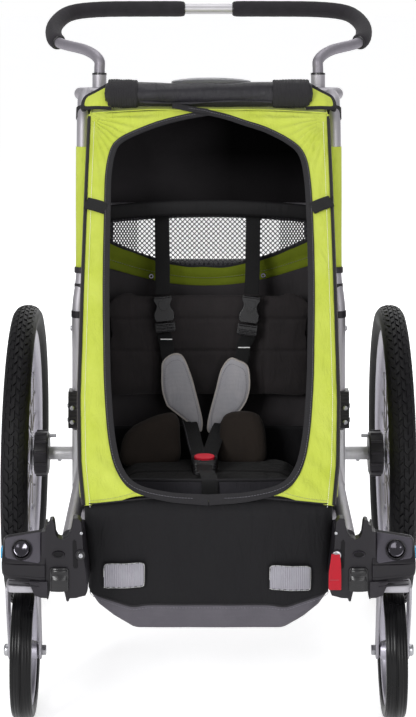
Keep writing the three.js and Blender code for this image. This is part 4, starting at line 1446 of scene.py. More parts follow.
def tub_loop(z, shrink=0.0):
    """One level of the tub: back, two sides and front, with rounded corners."""
    y_front, half = tub_size(z)
    y_back = -24 - 34 * max(0, (200 - z) / 78)
    half *= 1 - shrink
    middle = (y_front + y_back) / 2
    y_front = middle + (y_front - middle) * (1 - shrink)
    y_back = middle + (y_back - middle) * (1 - shrink)
    radius = 16 * (1 - shrink)
    arc = [math.pi / 2 * k / 7 for k in range(8)]
    centres = [(half - radius, y_back - radius, 0), (half - radius, y_front + radius, -math.pi / 2),
               (-half + radius, y_front + radius, -math.pi),
               (-half + radius, y_back - radius, -1.5 * math.pi)]
    points = []
    for i, (cx, cy, begin) in enumerate(centres):
        ring = [(cx + radius * math.cos(begin + (math.pi / 2 - a)),
                 cy + radius * math.sin(begin + (math.pi / 2 - a))) for a in arc]
        points += ring
        nx, ny, turn = centres[(i + 1) % 4]
        ex = nx + radius * math.cos(turn + math.pi / 2)
        ey = ny + radius * math.sin(turn + math.pi / 2)
        steps = TUB_SIDE_STEPS[i]
        points += [(ring[-1][0] + (ex - ring[-1][0]) * k / steps,
                    ring[-1][1] + (ey - ring[-1][1]) * k / steps) for k in range(1, steps)]
    return points


def band_top(x):
    """The wavy line where the black cloth gives way to the grey vinyl."""
    edge = max(0, (abs(x) - 128) / 46)
    return 159.5 - 3 * math.exp(-((abs(x) - 124) / 16) ** 2) + 15 * edge ** 1.4


def tub_top(x, y):
    """The tub's upper edge: level along the sides, rising in front to meet the arch."""
    if y > -480:
        return 306 if y < -400 else 303
    return 311.5 + 9 * (1 - clamp((abs(x) - 66) / 112))


def build_tub():
    shape = []
    upper, lower = 22, 9
    guide = tub_loop(200)
    for k in range(upper + lower + 1):
        row = []
        for i, (gx, gy) in enumerate(guide):
            top = tub_top(gx, gy)
            mid = band_top(gx) if gy < -470 else 172
            z = top + (mid - top) * k / upper if k <= upper else mid + (123 - mid) * (k - upper) / lower
            x, y = tub_loop(z)[i]
            front = max(0, (-440 - y) / 70)
            y += max(0, z - 303) / 1.085 * min(1, front)
            side_ripple = 1.6 * wobble((x, y, z), 0.016, 31)
            crease = 1.1 * math.sin((x + 0.4 * z) * 0.08) * max(0, 1 - abs(z - 215) / 90) * front
            sag = 2.5 * math.sin(math.pi * clamp((z - 165) / 135)) * front
            out = Vector((math.copysign(1, x) if abs(x) > abs(tub_size(z)[1]) - 20 else 0,
                          -1 if y < tub_size(z)[0] + 20 else 0, 0))
            out = out.normalized() if out.length else out
            row.append(at(x, y, z) + out * ((side_ripple + crease - 0.4 * sag) / 1000))
        shape.append(row)
    for shrink, z in ((0.03, 121.5), (0.3, 121.5), (0.65, 122.5)):
        shape.append([at(x, y, z) for x, y in tub_loop(123, shrink)])
    n = len(shape[0])
    obj = sheet("tub", shape, BLACK, 0, closed=True)
    obj.data.materials.append(VINYL)
    obj.data.materials.append(LINING)
    for poly in obj.data.polygons:
        row = min(poly.vertices) // n
        poly.material_index = 0 if row < upper else 1
    fill = add_mesh("floor", shape[-1], [tuple(range(n))], VINYL)
    tub = join("foot_tub_cloth", [obj, fill])
    tub.modifiers.clear()
    tub.data.set_sharp_from_angle(angle=math.radians(80))
    recalculate(tub, SEAM_MERGE)
    modifier(tub, "SOLIDIFY", "cloth", thickness=0.002, offset=-1)
    apply_modifiers(tub)
    ride(tub, "base", "foot_tub", slot="grey_vinyl")
    front = sorted([p for p in shape[upper] if p.y < AXLE_Y - 0.47], key=lambda p: p.x)
    below = [p + Vector((0, -0.0006, -0.0035)) for p in front]
    above = [p + Vector((0, -0.0004, 0.0012)) for p in front]
    ride(stitches("tub_band_stitch", below, -Y, DARK_THREAD, 4.6, 3, 0.9, 0.6), "base")
    ride(strap("tub_band_tape", above, -Y, 3.0, 1.4, BINDING), "base")
    rim = sorted([p for p in shape[0] if p.y < AXLE_Y - 0.49], key=lambda p: p.x)
    ride(tube("tub_top_piping", [p + Vector((0, -0.001, 0.0005)) for p in rim], 1.1, BINDING, 8), "base")
    for tag, (x0, x1, z0, z1) in (("L", (-156, -95.5, 188, 225)), ("R", (90.5, 151.5, 184, 221))):
        build_reflector(tag, x0, x1, z0, z1)


def build_reflector(tag, x0, x1, z0, z1):
    """A stitched silver patch of fine upright ribs, with a dark edge tape."""
    rows = []
    count = 88
    for i in range(9):
        v = i / 8
        row = []
        for k in range(count + 1):
            u = k / count
            x = x0 + (x1 - x0) * u
            pinch = 2.2 * (1 - min(1, min(u, 1 - u) * 9)) ** 2
            slope = (2.2 if tag == "L" else -1.6) * (u - 0.5)
            z = z0 + pinch + slope + (z1 - z0 - 2 * pinch) * v + 0.5 * math.sin(u * 9)
            y, _ = tub_size(z)
            rib = 0.45 * math.sin(u * math.pi * 44)
            swell = 2.2 * math.sin(math.pi * u) * math.sin(math.pi * v)
            row.append(at(x, y - 2.6 - rib - swell, z))
        rows.append(row)
    patch = sheet("patch", rows, SILVER_TAPE, 1.0, 1)
    border = rows[0] + [row[-1] for row in rows[1:-1]]
    border += list(reversed(rows[-1])) + [row[0] for row in reversed(rows[1:-1])]
    frame_tape = strap("edge", [p - Y * 0.0008 for p in border[::3]], -Y, 2.4, 1.2, WEB, closed=True)
    threads = stitches("thread", [p - Y * 0.0012 for p in border[::3]], -Y, THREAD, 3.2, 2.2, 0.6, 0.7)
    ride(join(f"reflector_{tag}", [patch, frame_tape, threads]), "base")


# ---------------------------------------------------------------- padded pieces
def pad_form(name, outline, place, thickness_mm, crown_mm, material, rows=7):
    """A closed crowned form over an outline (a, b): fullest in the middle, pulled in at its rim.

    place(a, b, c) puts a point with c mm of height above the pad's middle plane.
    """
    ca, cb = middle_of(outline)
    rings = []
    for side, steps in ((1, range(rows - 1, -1, -1)), (-1, range(1, rows))):
        for k in steps:
            v = k / rows
            shrink, height = math.cos(v * math.pi / 2 * 0.96), math.sin(v * math.pi / 2)
            c = side * (thickness_mm / 2 * min(1, height * 1.6) + crown_mm * height)
            rings.append([place(ca + (a - ca) * shrink, cb + (b - cb) * shrink, c) for a, b in outline])
    pad = loft(name, rings, material, None)
    recalculate(pad)
    return pad


def middle_of(outline):
    return sum(a for a, _ in outline) / len(outline), sum(b for _, b in outline) / len(outline)


SWELL_FRAMES = 20


def puff(obj, voxel_mm, cap_mm, pressure=4.0):
    """Swells a closed pad with a short cloth simulation, then smooths it."""
    modifier(obj, "REMESH", "voxels", mode="VOXEL", voxel_size=voxel_mm / 1000)
    apply_modifiers(obj)
    obj.data.shade_smooth()
    start = np.array([v.co for v in obj.data.vertices], float).reshape(-1, 3)
    scene = bpy.context.scene
    scene.frame_set(1)
    cloth = obj.modifiers.new("cloth", "CLOTH")
    cloth.settings.quality = 5
    cloth.settings.mass = 0.3
    cloth.settings.tension_stiffness = 12
    cloth.settings.compression_stiffness = 12
    cloth.settings.shear_stiffness = 6
    cloth.settings.bending_stiffness = 0.6
    cloth.settings.use_pressure = True
    cloth.settings.uniform_pressure_force = pressure
    cloth.settings.effector_weights.gravity = 0
    cloth.point_cache.frame_start = 1
    cloth.point_cache.frame_end = SWELL_FRAMES
    for number in range(1, SWELL_FRAMES + 1):
        scene.frame_set(number)
    graph = bpy.context.evaluated_depsgraph_get()
    mesh = bpy.data.meshes.new_from_object(obj.evaluated_get(graph), depsgraph=graph)
    moved = np.array([v.co for v in mesh.vertices], float).reshape(-1, 3)
    obj.modifiers.clear()
    step = moved - start
    length = np.linalg.norm(step, axis=1)
    limit = np.minimum(1, (cap_mm / 1000) / np.maximum(length, 1e-9))
    obj.data.vertices.foreach_set("co", (start + step * limit[:, None]).ravel())
    scene.frame_set(1)
    modifier(obj, "SMOOTH", "soften", factor=0.5, iterations=3)
    modifier(obj, "SUBSURF", "fine", levels=1, render_levels=1)
    apply_modifiers(obj)
    obj.data.shade_smooth()
    return obj


def press_seams(obj, seams, width_mm, depth_mm, inward):
    """Sews channels into a pad: points near a seam (given by its distance function, mm) sink inwards."""
    for vertex in obj.data.vertices:
        point = in_mm(vertex.co)
        sink = max(math.exp(-(seam(*point) / width_mm) ** 2) for seam in seams)
        vertex.co += inward * (sink * depth_mm / 1000)
    obj.data.update()


def round_outline(keys, per_span=7):
    return [(p.x, p.y) for p in catmull([Vector((a, b, 0)) for a, b in keys], per_span, True)]


def build_seat():
    outline = round_outline([(-150, -330), (-100, -336), (0, -337), (100, -336), (150, -330), (151, -260),
                             (151, -140), (149, -62), (100, -57), (0, -57), (-100, -57), (-149, -62),
                             (-151, -140), (-151, -260)])

    def place(x, y, c):
        rise = 281.5 - (y + 338) * 26 / 280
        return at(x, y, rise - 14 + c)

    cushion = pad_form("seat_cushion_soft", outline, place, 20, 5, SEAT_CLOTH)
    puff(cushion, 5.5, 6)
    seams = [lambda x, y, z: y + 300, lambda x, y, z: y + 205,
             lambda x, y, z: abs(x) - 96 if y < -205 else 99]
    press_seams(cushion, seams, 4, 2.2, -Z)
    ride(cushion, "base", "seat_cushion", slot="black_fabric")
    front = []
    for z in np.linspace(300, 226, 12):
        t = (300 - z) / 74
        front.append([at(x, -341 - 3 * math.sin(math.pi * t) + 8 * abs(x / 150) ** 3, z)
                      for x in np.linspace(-151, 151, 40)])
    apron = sheet("seat_apron", front, APRON, 2, 1)
    ride(apron, "base")
    roll_points = [at(x, -340 + 8 * abs(x / 150) ** 3, 298.5 + 0.5 * wobble((x, 0, 0), 0.02, 4))
                   for x in np.linspace(-150, 150, 50)]
    ride(tube("seat_edge_piping", roll_points, 2.6, BINDING, 12), "base")

    def sling(y, x):
        rise = 262 - (y + 338) * 26 / 280
        return at(x, y, rise - 2 - 6 * (1 - (x / 182) ** 2) + 1.2 * wobble((x, y, 0), 0.02, 9))

    across = np.linspace(-179, 179, 40)
    ride(surface("seat_sling", np.linspace(-336, -40, 24), across, sling, LINING, 2), "base")
    build_seat_back()
    build_bolsters()


def build_seat_back():
    outline = round_outline([(-172, 356), (-174, 440), (-172, 521), (-100, 527), (0, 528), (100, 527),
                             (172, 521), (174, 440), (172, 356), (100, 350), (0, 349), (-100, 350)])

    def place(x, z, c):
        y = -13 + 14 * (z - 350) / 180 - 6 * (abs(x) / 150) ** 2
        return at(x, y - c, z)

    back = pad_form("seat_back_soft", outline, place, 12, 2, PAD)
    puff(back, 5.5, 3)
    seams = [lambda x, y, z: z - 429, lambda x, y, z: z - 483, lambda x, y, z: abs(x) - 96]
    press_seams(back, seams, 3, 2.4, Y)
    ride(back, "upright", "seat_back", slot="black_fabric")

    def lining(u, x):
        z = 342 + (inside_low(x) + 9 - 342) * u
        y = 22 + 22 * u - 16 * max(0, (abs(x) - 150) / 48) ** 1.5
        return at(x, y + 3.0 * wobble((x, 0, z), 0.02, 14) - 1.5 * math.sin(x * 0.05 + z * 0.02), z)

    def kick(z, x):
        return at(x, 17 + 1.6 * wobble((x, 0, z), 0.02, 44) - 14 * max(0, (abs(x) - 150) / 36), z)

    across = np.linspace(-198, 198, 60)
    ride(surface("back_lining", np.linspace(0, 1, 64), across, lining, BACK_CLOTH), "upright")
    across = np.linspace(-183, 183, 50)
    ride(surface("kick_panel", np.linspace(268, 352, 16), across, kick, BACK_CLOTH), "base")


def build_bolsters():
    """Two padded side rests standing on the seat."""
    for tag, keys, y in (("L", ((-147, 262), (-146, 296), (-132, 316), (-100, 332), (-64, 341), (-50, 332),
                                (-47, 300), (-50, 264), (-100, 258)), -112),
                         ("R", ((18, 262), (17, 304), (24, 334), (50, 342), (82, 338), (94, 318), (97, 292),
                                (94, 264), (56, 258)), -108)):
        outline = round_outline(keys, 6)
        pad = pad_form(f"side_bolster_{tag}", outline,
                       lambda a, b, c, y=y: at(a, y - c + 0.35 * (b - 260), b), 22, 8, BOLSTER)
        puff(pad, 5.0, 6, 3.0)
        ride(pad, "base")


def build_upper_lining():
    """The black inner cloth behind the opening: a taut band over the net, and the hood above it."""
    def band(u, x):
        low = 656.5 - 8.5 * (abs(x) / NET_HALF) ** 2
        y = 15 - 2.2 * math.sin(math.pi * u) - 3 * (abs(x) / 196) ** 2
        return at(x, y, low + 26 * u)

    def hood(u, x):
        low = 650 - 9.5 * (abs(x) / NET_HALF) ** 2
        z = low + (836 - low) * u
        edge = max(0, (abs(x) - 130) / 67)
        y = BACK_Y - 6 - 46 * u ** 3 - 16 * edge ** 2 + 2.0 * wobble((x, 0, z), 0.012, 17)
        return at(x, y, min(z, 834))

    across = np.linspace(-196, 196, 56)
    ride(surface("head_band", np.linspace(0, 1, 7), across, band, BAND, 2.2), "upright")
    across = np.linspace(-197, 197, 60)
    ride(surface("hood_lining", np.linspace(0, 1, 26), across, hood, HOOD, 1.6), "upright")


def inside_low(x):
    """The sagging lower edge of the strip inside the back, lime darkened to olive as painted shade."""
    return 519.7 + 33 * (abs(x + 6) / 172) ** 1.9


def build_inside_strip():
    """The inner face of the rear cloth, lime made olive with painted shade: a sagging strip below the net,
    with a seam and two eyelets.
    """
    def seam_at(x):
        return 541 + 35 * (abs(x + 5) / 174) ** 1.9

    def strip(u, x):
        z = inside_low(x) + (net_low(x) + 3 - inside_low(x)) * u
        bulge = 2.4 * math.sin(math.pi * min(1, u * 2 if u < 0.5 else (u - 0.5) * 2))
        return at(x, BACK_Y - 9 - curl(x) - bulge + 1.2 * wobble((x, 0, z), 0.03, 6), z)

    def curl(x):
        return 10 * max(0, (abs(x) - 150) / 46)

    across = np.linspace(-180, 180, 60)
    # the strip and its fold are lime cloth with painted shade, olive where the cabin is in shadow
    ride(surface("rear_hem", np.linspace(0, 1, 16), across, strip, LIME_PAINTED_SHADE, 1.6), "upright")
    across = np.linspace(-176, 176, 60)
    seam = [at(x, BACK_Y - 10.4 - curl(x), seam_at(x)) for x in across]
    ride(stitches("rear_hem_stitch", seam, -Y, DARK_THREAD, 4.4, 3, 0.9, 0.8), "upright")
    ride(strap("rear_hem_fold", seam, -Y, 3.0, 1.4, LIME_PAINTED_SHADE, lift_mm=0.4), "upright")
    edge = [at(x, BACK_Y - 9.6 - curl(x), net_low(x) + 2) for x in across]
    ride(strap("net_lower_tape", edge, -Y, 5, 1.8, BINDING), "upright")
    for tag, x in (("L", -100), ("R", 95)):
        z = (seam_at(x) + inside_low(x)) / 2 + 3
        eyelet = lathe(f"eyelet_{tag}", [(2.0, -2), (4.0, -2), (4.6, -1.2), (4.0, 0.6), (2.0, 0.6)],
                       at(x, BACK_Y - 12.5, z), CHROME, "Y", 32, 1)
        ride(eyelet, "upright")


# ---------------------------------------------------------------- harness
def build_harness():
    for tag, s, x_top, x_low, x_end in (("L", -1, -81, -79, -72), ("R", 1, 77, 73, 60)):
        upper = smooth([(x_top, 44, 655), (x_top, 30, 640), (x_top - s, 12, 600), (x_top - s * 2, -10, 560),
                        (x_low, -26, 528)], 8)
        web = strap(f"upper_webbing_{tag}", upper, -Y, 25, 1.8, WEB)
        ride(web, "upright")
        tack_line = [at(x_top - 12.5, 40.5, 653), at(x_top + 12.5, 40.5, 653)]
        ride(strap(f"bar_tack_{tag}", tack_line, -Y, 2.4, 1.2, THREAD), "upright")
        lower = smooth([(x_low * 0.97, -34, 462), (x_end, -42, 446), (x_end * 0.96, -46, 428),
                        (x_end * 0.9 - s * 4, -50, 405)], 8)
        web = strap(f"chest_webbing_{tag}", lower, -Y, 24, 1.8, WEB)
        drape(web, f"shoulder_strap_{tag}", slot="webbing")
        tack_z = 455 if s < 0 else 441
        tack = [at(x_end - 10, -44.6, tack_z), at(x_end + 10, -44.6, tack_z)]
        drape(strap(f"chest_tack_{tag}", tack, -Y, 1.8, 1.2, THREAD))
    for tag, top, bottom in (("L", at(-79, -33, 526), at(-73, -40.5, 466)),
                             ("R", at(73, -33, 526), at(64, -41, 460))):
        buckle = side_release_buckle(f"side_release_{tag}", top, bottom)
        ride(buckle, "upright", f"shoulder_buckle_{tag}", slot="black_plastic")
    build_chest_pads()
    build_crotch()


PAD_LEFT = ((-79, 400), (-77, 418), (-62, 430), (-45, 427), (-31, 396), (-20, 357), (-12, 324), (-12, 309),
            (-16, 305), (-40, 323), (-65, 342), (-71, 349), (-78, 372))
PAD_RIGHT = ((69, 388), (65, 411), (50, 420), (36, 423), (22, 405), (13, 372), (6, 347), (-1, 318), (1, 302),
             (20, 313), (42, 328), (59, 347), (67, 366))


def build_chest_pads():
    for tag, keys in (("L", PAD_LEFT), ("R", PAD_RIGHT)):
        outline = round_outline(keys, 6)

        def place(x, z, c):
            lean = -50 - 0.10 * (420 - z)
            return at(x, lean - c, z)

        pad = pad_form(f"chest_pad_soft_{tag}", outline, place, 5, 1.6, PAD_FACE, 6)
        modifier(pad, "SUBSURF", "fine", levels=1, render_levels=1)
        drape(pad, f"chest_pad_{tag}", slot="pad_silver")
        ca, cb = middle_of(outline)
        seam = [place(ca + (a - ca) * 0.84, cb + (b - cb) * 0.86, 3.6) for a, b in outline]
        thread = stitches(f"chest_pad_stitch_{tag}", seam + seam[:1], -Y, DARK_THREAD, 3.4, 2.2, 0.6, 0.4)
        drape(thread)
        rim = [place(a, b, 0) for a, b in outline]
        drape(strap(f"chest_pad_edge_{tag}", rim, -Y, 2.6, 3.4, PAD_EDGE, closed=True))
        under = [place(ca + (a - ca) * 0.96, cb + (b - cb) * 0.97, -4.2) for a, b in outline]
        back = [place(ca + (a - ca) * 0.5, cb + (b - cb) * 0.5, -5.6) for a, b in outline]
        sole = sheet(f"chest_pad_back_{tag}", [under, back], BLACK, 1.6, 0, closed=True)
        drape(sole)


def build_crotch():
    facing = Vector((0, -1, 0.55)).normalized()
    for tag, keys in (("L", ((-47, -49, 356), (-40, -52, 338), (-34, -58, 322), (-28, -82, 309),
                             (-22, -134, 299), (-15, -187, 293))),
                      ("R", ((37, -48, 352), (32, -52, 336), (25, -58, 319), (15, -82, 307),
                             (7, -134, 299), (0, -187, 293)))):
        path = smooth(keys, 8)
        drape(strap(f"waist_webbing_{tag}", path, facing, 25, 1.8, WEB))
        edge = [p + Vector((-0.0105, -0.0012, 0.0006)) for p in path[2:-4]]
        drape(stitches(f"waist_stitch_{tag}", edge, facing, DARK_THREAD, 4, 2.6, 0.7, 0.7))
    front = smooth([(-8, -219, 292), (-6, -252, 289), (-3, -300, 301), (1, -336, 301), (2, -346, 292),
                    (2, -347, 268)], 8)
    normals = []
    for i, p in enumerate(front):
        over = max(0, i / (len(front) - 1) - 0.6) / 0.4
        normals.append((Z * (1 - over) - Y * (over + 0.02)).normalized())
    crotch = strap("crotch_webbing", front, normals, 26, 2.0, WEB)
    ride(crotch, "base", "crotch_strap", slot="webbing")
    build_buckle()


def build_buckle():
    """The crotch buckle: a tapered black body with ridges on its front, and an oval red button on top."""
    profile = [(-181, 283), (-181, 292), (-186, 298.5), (-197, 301.5), (-210, 300.5), (-221, 297)]
    for k in range(5):
        y, z = -223 - 3.6 * k, 294.5 - 3.6 * k
        profile += [(y, z), (y - 2.4, z - 0.6), (y - 2.6, z - 2.4)]
    profile += [(-241.5, 276.5), (-235, 274.5), (-205, 278)]
    rows = []
    for u in np.linspace(-1, 1, 15):
        ease = 1 - 0.16 * abs(u) ** 5
        row = []
        for y, z in profile:
            half = 21.5 - 4.5 * max(0, (-211 - y) / 30)
            row.append(at(-7 + half * u, -211 + (y + 211) * ease, 288 + (z - 288) * ease))
        rows.append(row)
    n = len(profile)
    verts = [p for row in rows for p in row]
    caps = [tuple(range(n)), tuple(range(len(verts) - n, len(verts)))]
    body = add_mesh("buckle_body", verts, bridge_rings(len(rows), n) + caps, GLOSS, None)
    recalculate(body)
    bevel(body, 0.7, 2, 30)
    tilt = Vector((0, -0.42, 0.91)).normalized()
    along = X.cross(tilt)
    middle = at(-7, -213.5, 300.2)

    def place(a, b, c):
        return middle + X * (a / 1000) + along * (b / 1000) + tilt * (c / 1000)

    well = prism("well", oval(0, 0, 17.3, 8.0, 48), lambda a, b, c: place(a, b, c - 6), 14, GLOSS, 0)
    drill(body, [well])
    ride(body, "base", "harness_buckle", slot="black_plastic")
    top = oval(0, 0, 16.5, 6.8, 48)
    button = prism("buckle_button_cap", top, lambda a, b, c: place(a, b, c - 2), 5.6, RED, 1.5, 4)
    ride(button, "buckle_button", "buckle_button", slot="red_plastic")


# ---------------------------------------------------------------- rolled cover and cargo bag
ROLL_Y, ROLL_Z, ROLL_HALF = -6, 868.5, 175


def roll_axis(x):
    """The height of the roll's middle, drooping between its ends."""
    return ROLL_Z - 1.6 * math.sin((x + ROLL_HALF) / (2 * ROLL_HALF) * math.pi)


def build_roll():
    """The rolled front cover: a spiral roll with a hem, held by two gathered straps."""
    count = 160
    around = 56
    rows = []
    for i in range(count + 1):
        x = -ROLL_HALF + 2 * ROLL_HALF * i / count
        ends = 1 - 0.18 * max(0, (abs(x) - 164) / 11) ** 2
        row = []
        for k in range(around):
            a = 2 * math.pi * k / around
            lump = 1.0 * wobble((x * 0.6, 40 * math.cos(a), 40 * math.sin(a)), 0.03, 2)
            lump += 1.5 * wobble((x * 0.35, 30 * math.cos(a), 30 * math.sin(a)), 0.05, 5)
            fold = 0.9 * math.sin(3 * a + x * 0.012)
            r = (21.2 + lump + fold) * ends
            row.append(at(x, ROLL_Y + r * math.cos(a), roll_axis(x) + r * 0.97 * math.sin(a)))
        rows.append(row)
    roll = sheet("roll", rows, ROLL, 0, closed=True)
    ends = []
    for index, direction in ((0, -1), (-1, 1)):
        ring = rows[index]
        centre = sum(ring, Vector()) / len(ring)
        spiral = []
        for j in range(8):
            t = 1 - j / 8
            depth = direction * (0.0018 * math.sin(t * 16) + 0.0025 * (1 - t))
            spiral.append([centre + (p - centre) * t + X * depth for p in ring])
        cap = sheet("cap", spiral, ROLL, 0, closed=True)
        tip = add_mesh("tip", spiral[-1], [tuple(range(len(ring)))], ROLL, None)
        ends += [cap, tip]
    body = join("cover_roll_cloth", [roll] + ends)
    body.modifiers.clear()
    body.data.set_sharp_from_angle(angle=math.radians(80))
    recalculate(body, SEAM_MERGE)
    ride(body, "upright", "cover_roll", slot="black_fabric")
    lip = [at(x, ROLL_Y - 18, ROLL_Z - 13 + 2 * math.sin(x * 0.03)) for x in np.linspace(-118, 108, 60)]
    ride(tube("roll_hem", lip, lambda t: 2.0 + 0.8 * math.sin(t * 21), ROLL, 12), "upright")
    for tag, x0, x1 in (("L", -172, -122), ("R", 110, 172)):
        rows = []
        steps = 40
        for i in range(steps + 1):
            x = x0 + (x1 - x0) * i / steps
            edge = min(1, min(i, steps - i) / 2)
            row = []
            for k in range(72):
                a = 2 * math.pi * k / 72
                gather = 1.1 * math.sin(i * 1.9 + 1.2 * math.sin(3 * a)) * edge
                bumps = 1.0 * wobble((x, 26 * math.cos(a), 26 * math.sin(a)), 0.08, 19)
                r = 23.0 + 1.4 * edge + gather * 0.55 + bumps
                row.append(at(x, ROLL_Y + r * math.cos(a), roll_axis(x) + r * 0.97 * math.sin(a)))
            rows.append(row)
        band = sheet(f"roll_strap_{tag}", rows, ROLL_STRAP, 1.2, 0, closed=True)
        ride(band, "upright")
    build_sun_net()


def build_sun_net():
    """The folded light mesh whose edge shows above the roll."""
    def net(u, x):
        rise = 7.5 * math.sqrt(max(0, 1 - ((x - 4) / 70) ** 2))
        ripple = 0.6 * wobble((x, u * 30, 0), 0.08, 3)
        return at(x, 2 + 20 * u, 886 + rise * (1 - u * 0.7) - 12 * u + ripple)

    across = np.linspace(-64, 72, 40)
    ride(surface("sun_net_edge", np.linspace(0, 1, 10), across, net, GREY_NET), "upright")
    for k in range(3):
        path = [at(x, 1.2 - 0.8 * k, 885 + (7.5 + 1.0 * k) * math.sqrt(max(0, 1 - ((x - 4) / 74) ** 2)))
                for x in np.linspace(-64, 72, 40)]
        ride(tube(f"sun_net_fold_{k}", path, 0.9, GREY_NET, 8), "upright")


def build_bag():
    """The cargo bag hung behind the body: a sagging lofted pouch with a flap and straps."""
    rows = []
    levels = 34
    for i in range(levels + 1):
        v = i / levels
        z = 300 + 254 * v
        deep = 57 * (0.72 + 0.28 * math.sin(math.pi * (0.12 + 0.6 * v))) * (1 - 0.22 * v)
        wide = 163 - 9 * (1 - v) ** 2 - 3 * math.sin(math.pi * v)
        sag = 5 * math.sin(math.pi * (1 - v)) ** 2
        row = []
        count = 96
        for k in range(count):
            a = 2 * math.pi * k / count
            c, s = math.cos(a), math.sin(a)
            x = wide * math.copysign(abs(c) ** 0.42, c)
            y = 70.5 + deep / 2 + deep / 2 * math.copysign(abs(s) ** 0.6, s)
            y += sag * max(0, s) * (1 - (x / 170) ** 2)
            crease = 1.6 * wobble((x, y, z), 0.02, 27) * max(0, s + 0.3)
            row.append(at(x, min(y + crease, 137), z))
        rows.append(row)
    def closing(row, middle_y, z, shares):
        """Rows that draw in towards the middle, to close an end of the pouch."""
        drawn = []
        for t, step in shares:
            drawn.append([at(x * t, middle_y + (y - middle_y) * t, z + step) for x, y, _ in map(in_mm, row)])
        return drawn

    top = closing(rows[-1], 92.5, 555.5, [(t, 1.5 * (1 - t)) for t in (0.94, 0.7, 0.35)])
    base = closing(rows[0], 97, 299, [(t, -2 * (1 - t)) for t in (0.35, 0.7, 0.95)])
    grid = base + rows + top
    shell = sheet("bag", grid, BLACK, 0, closed=True)
    fills = [add_mesh("fill", grid[0], [tuple(range(96))], BLACK, None),
             add_mesh("fill", grid[-1], [tuple(range(96))], BLACK, None)]
    bag = join("cargo_bag_cloth", [shell] + fills)
    bag.modifiers.clear()
    bag.data.set_sharp_from_angle(angle=math.radians(80))
    recalculate(bag, SEAM_MERGE)
    ride(bag, "upright", "cargo_bag", slot="black_fabric")

    def flap(u, x):
        if u < 0.3:
            y, z = 74 + 50 * u / 0.3, 560 + 2.5 * math.sin(u / 0.3 * math.pi)
        else:
            t = (u - 0.3) / 0.7
            y, z = 125 + 9 * math.sin(t * 1.6), 560 - 108 * t + 4 * (abs(x) / 150) ** 2 * t
        return at(x, y + 1.1 * wobble((x, u * 90, 0), 0.02, 33), z)

    across = np.linspace(-150, 150, 44)
    ride(surface("cargo_bag_flap", np.linspace(0, 1, 18), across, flap, BLACK, 1.8, 0, LINING), "upright")
    hem = [flap(1, x) for x in across]
    ride(strap("cargo_flap_binding", hem, Y, 9, 2.6, BINDING), "upright")
    above = [p + Vector((0, 0.0008, 0.008)) for p in hem]
    ride(stitches("cargo_flap_stitch", above, Y, THREAD, 4.4, 3, 0.9, 1.4), "upright")
    for tag, s in SIDES:
        x = s * 96
        drop = [at(x, 129, 548), at(x, 136.5, 520), at(x, 139, 480), at(x, 139.5, 450), at(x, 137, 420)]
        ride(strap(f"cargo_strap_{tag}", catmull(drop, 6), Y, 25, 1.8, WEB), "upright")
        clip = block(f"cargo_clip_{tag}", x - 15, x + 15, 137.5, 143.5, 428, 462, PLASTIC, 2.2)
        ride(clip, "upright")
        for k in range(3):
            z = 436 + 8 * k
            left, right = at(x - 11, 143.8, z), at(x + 11, 143.8, z)
            ride(rod(f"cargo_clip_rib_{tag}_{k}", left, right, 1.2, GLOSS, 10, 0.4), "upright")
    tape = [at(x, 135.2 + 0.8 * math.cos(x * 0.01), 352) for x in np.linspace(-140, 140, 50)]
    ride(strap("cargo_reflective_band", tape, Y, 18, 1.2, SILVER_TAPE, lift_mm=1.2), "upright")


# ---------------------------------------------------------------- carried-over CAD nodes and small hardware
def finish_node(node, material, edge_mm=0.8, segments=2):
    """Gives a CAD node its material and eased edges; its mesh and place stay as they are."""
    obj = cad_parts[node]
    obj.data.materials.clear()
    obj.data.materials.append(material)
    modifier(obj, "WELD", "weld", merge_threshold=1e-6)
    modifier(obj, "BEVEL", "edges", width=edge_mm / 1000, segments=segments, limit_method="ANGLE",
             angle_limit=math.radians(32), harden_normals=False)
    modifier(obj, "WEIGHTED_NORMAL", "normals", keep_sharp=True)
    return obj


def build_cad_nodes():
    for tag, _ in SIDES:
        finish_node(f"release_tab_{tag}", BLUE, 1.2, 3)
        finish_node(f"brake_pin_{tag}", STEEL, 0.6)
    finish_node("brake_bracket", PLASTIC, 0.8)
    finish_node("brake_pedal", RED, 1.4, 3)


PLATE_MIDDLE = Vector((0, -579, 264))
PLATE_OUT = Vector((0, -0.88, 0.475)).normalized()


def on_plate(x, along, out):
    """A point on the bracket's sloping face: along runs up the slope, out stands off it."""
    up = Vector((0, 0.475, 0.88)).normalized()
    p = PLATE_MIDDLE + up * along + PLATE_OUT * out
    return at(x, p.y, p.z)


def housing(s):
    """The outer block over the caster stem: a side profile lofted across, with eased ends."""
    profile = ((-526, 0.0), (-524, 0.05), (-524, 0.76), (-527, 0.80), (-533, 0.83), (-556, 0.955),
               (-562, 0.975), (-569, 0.93), (-580.5, 0.66), (-590, 0.425), (-590, 0.40), (-592.2, 0.385),
               (-592.6, 0.30), (-592.6, 0.20), (-592.2, 0.155), (-589.5, 0.14), (-589.5, 0.09), (-586, 0.0))
    stations = ((237, 0.0, 218.5, 290.5), (238, 0.6, 217.4, 291.5), (244, 0.8, 217.2, 291),
                (262, 0.9, 220, 288), (280, 0.9, 222.6, 285), (293, 0.9, 225.4, 282.4),
                (298, 0.8, 228.5, 280.2), (300.4, 0.55, 232, 276), (301, 0.0, 236, 272))
    rows = []
    for x, ease, low, high in stations:
        row = []
        for y, v in profile:
            pull = (1 - ease) * 5
            z = low + (high - low) * v
            row.append(at(s * x, y + (pull if y < -560 else -pull * 0.4) * (1 if ease < 0.6 else 0.2), z))
        rows.append(row)
    obj = loft("housing", rows, PLASTIC, None)
    recalculate(obj)
    bevel(obj, 1.6, 3, 28)
    return obj


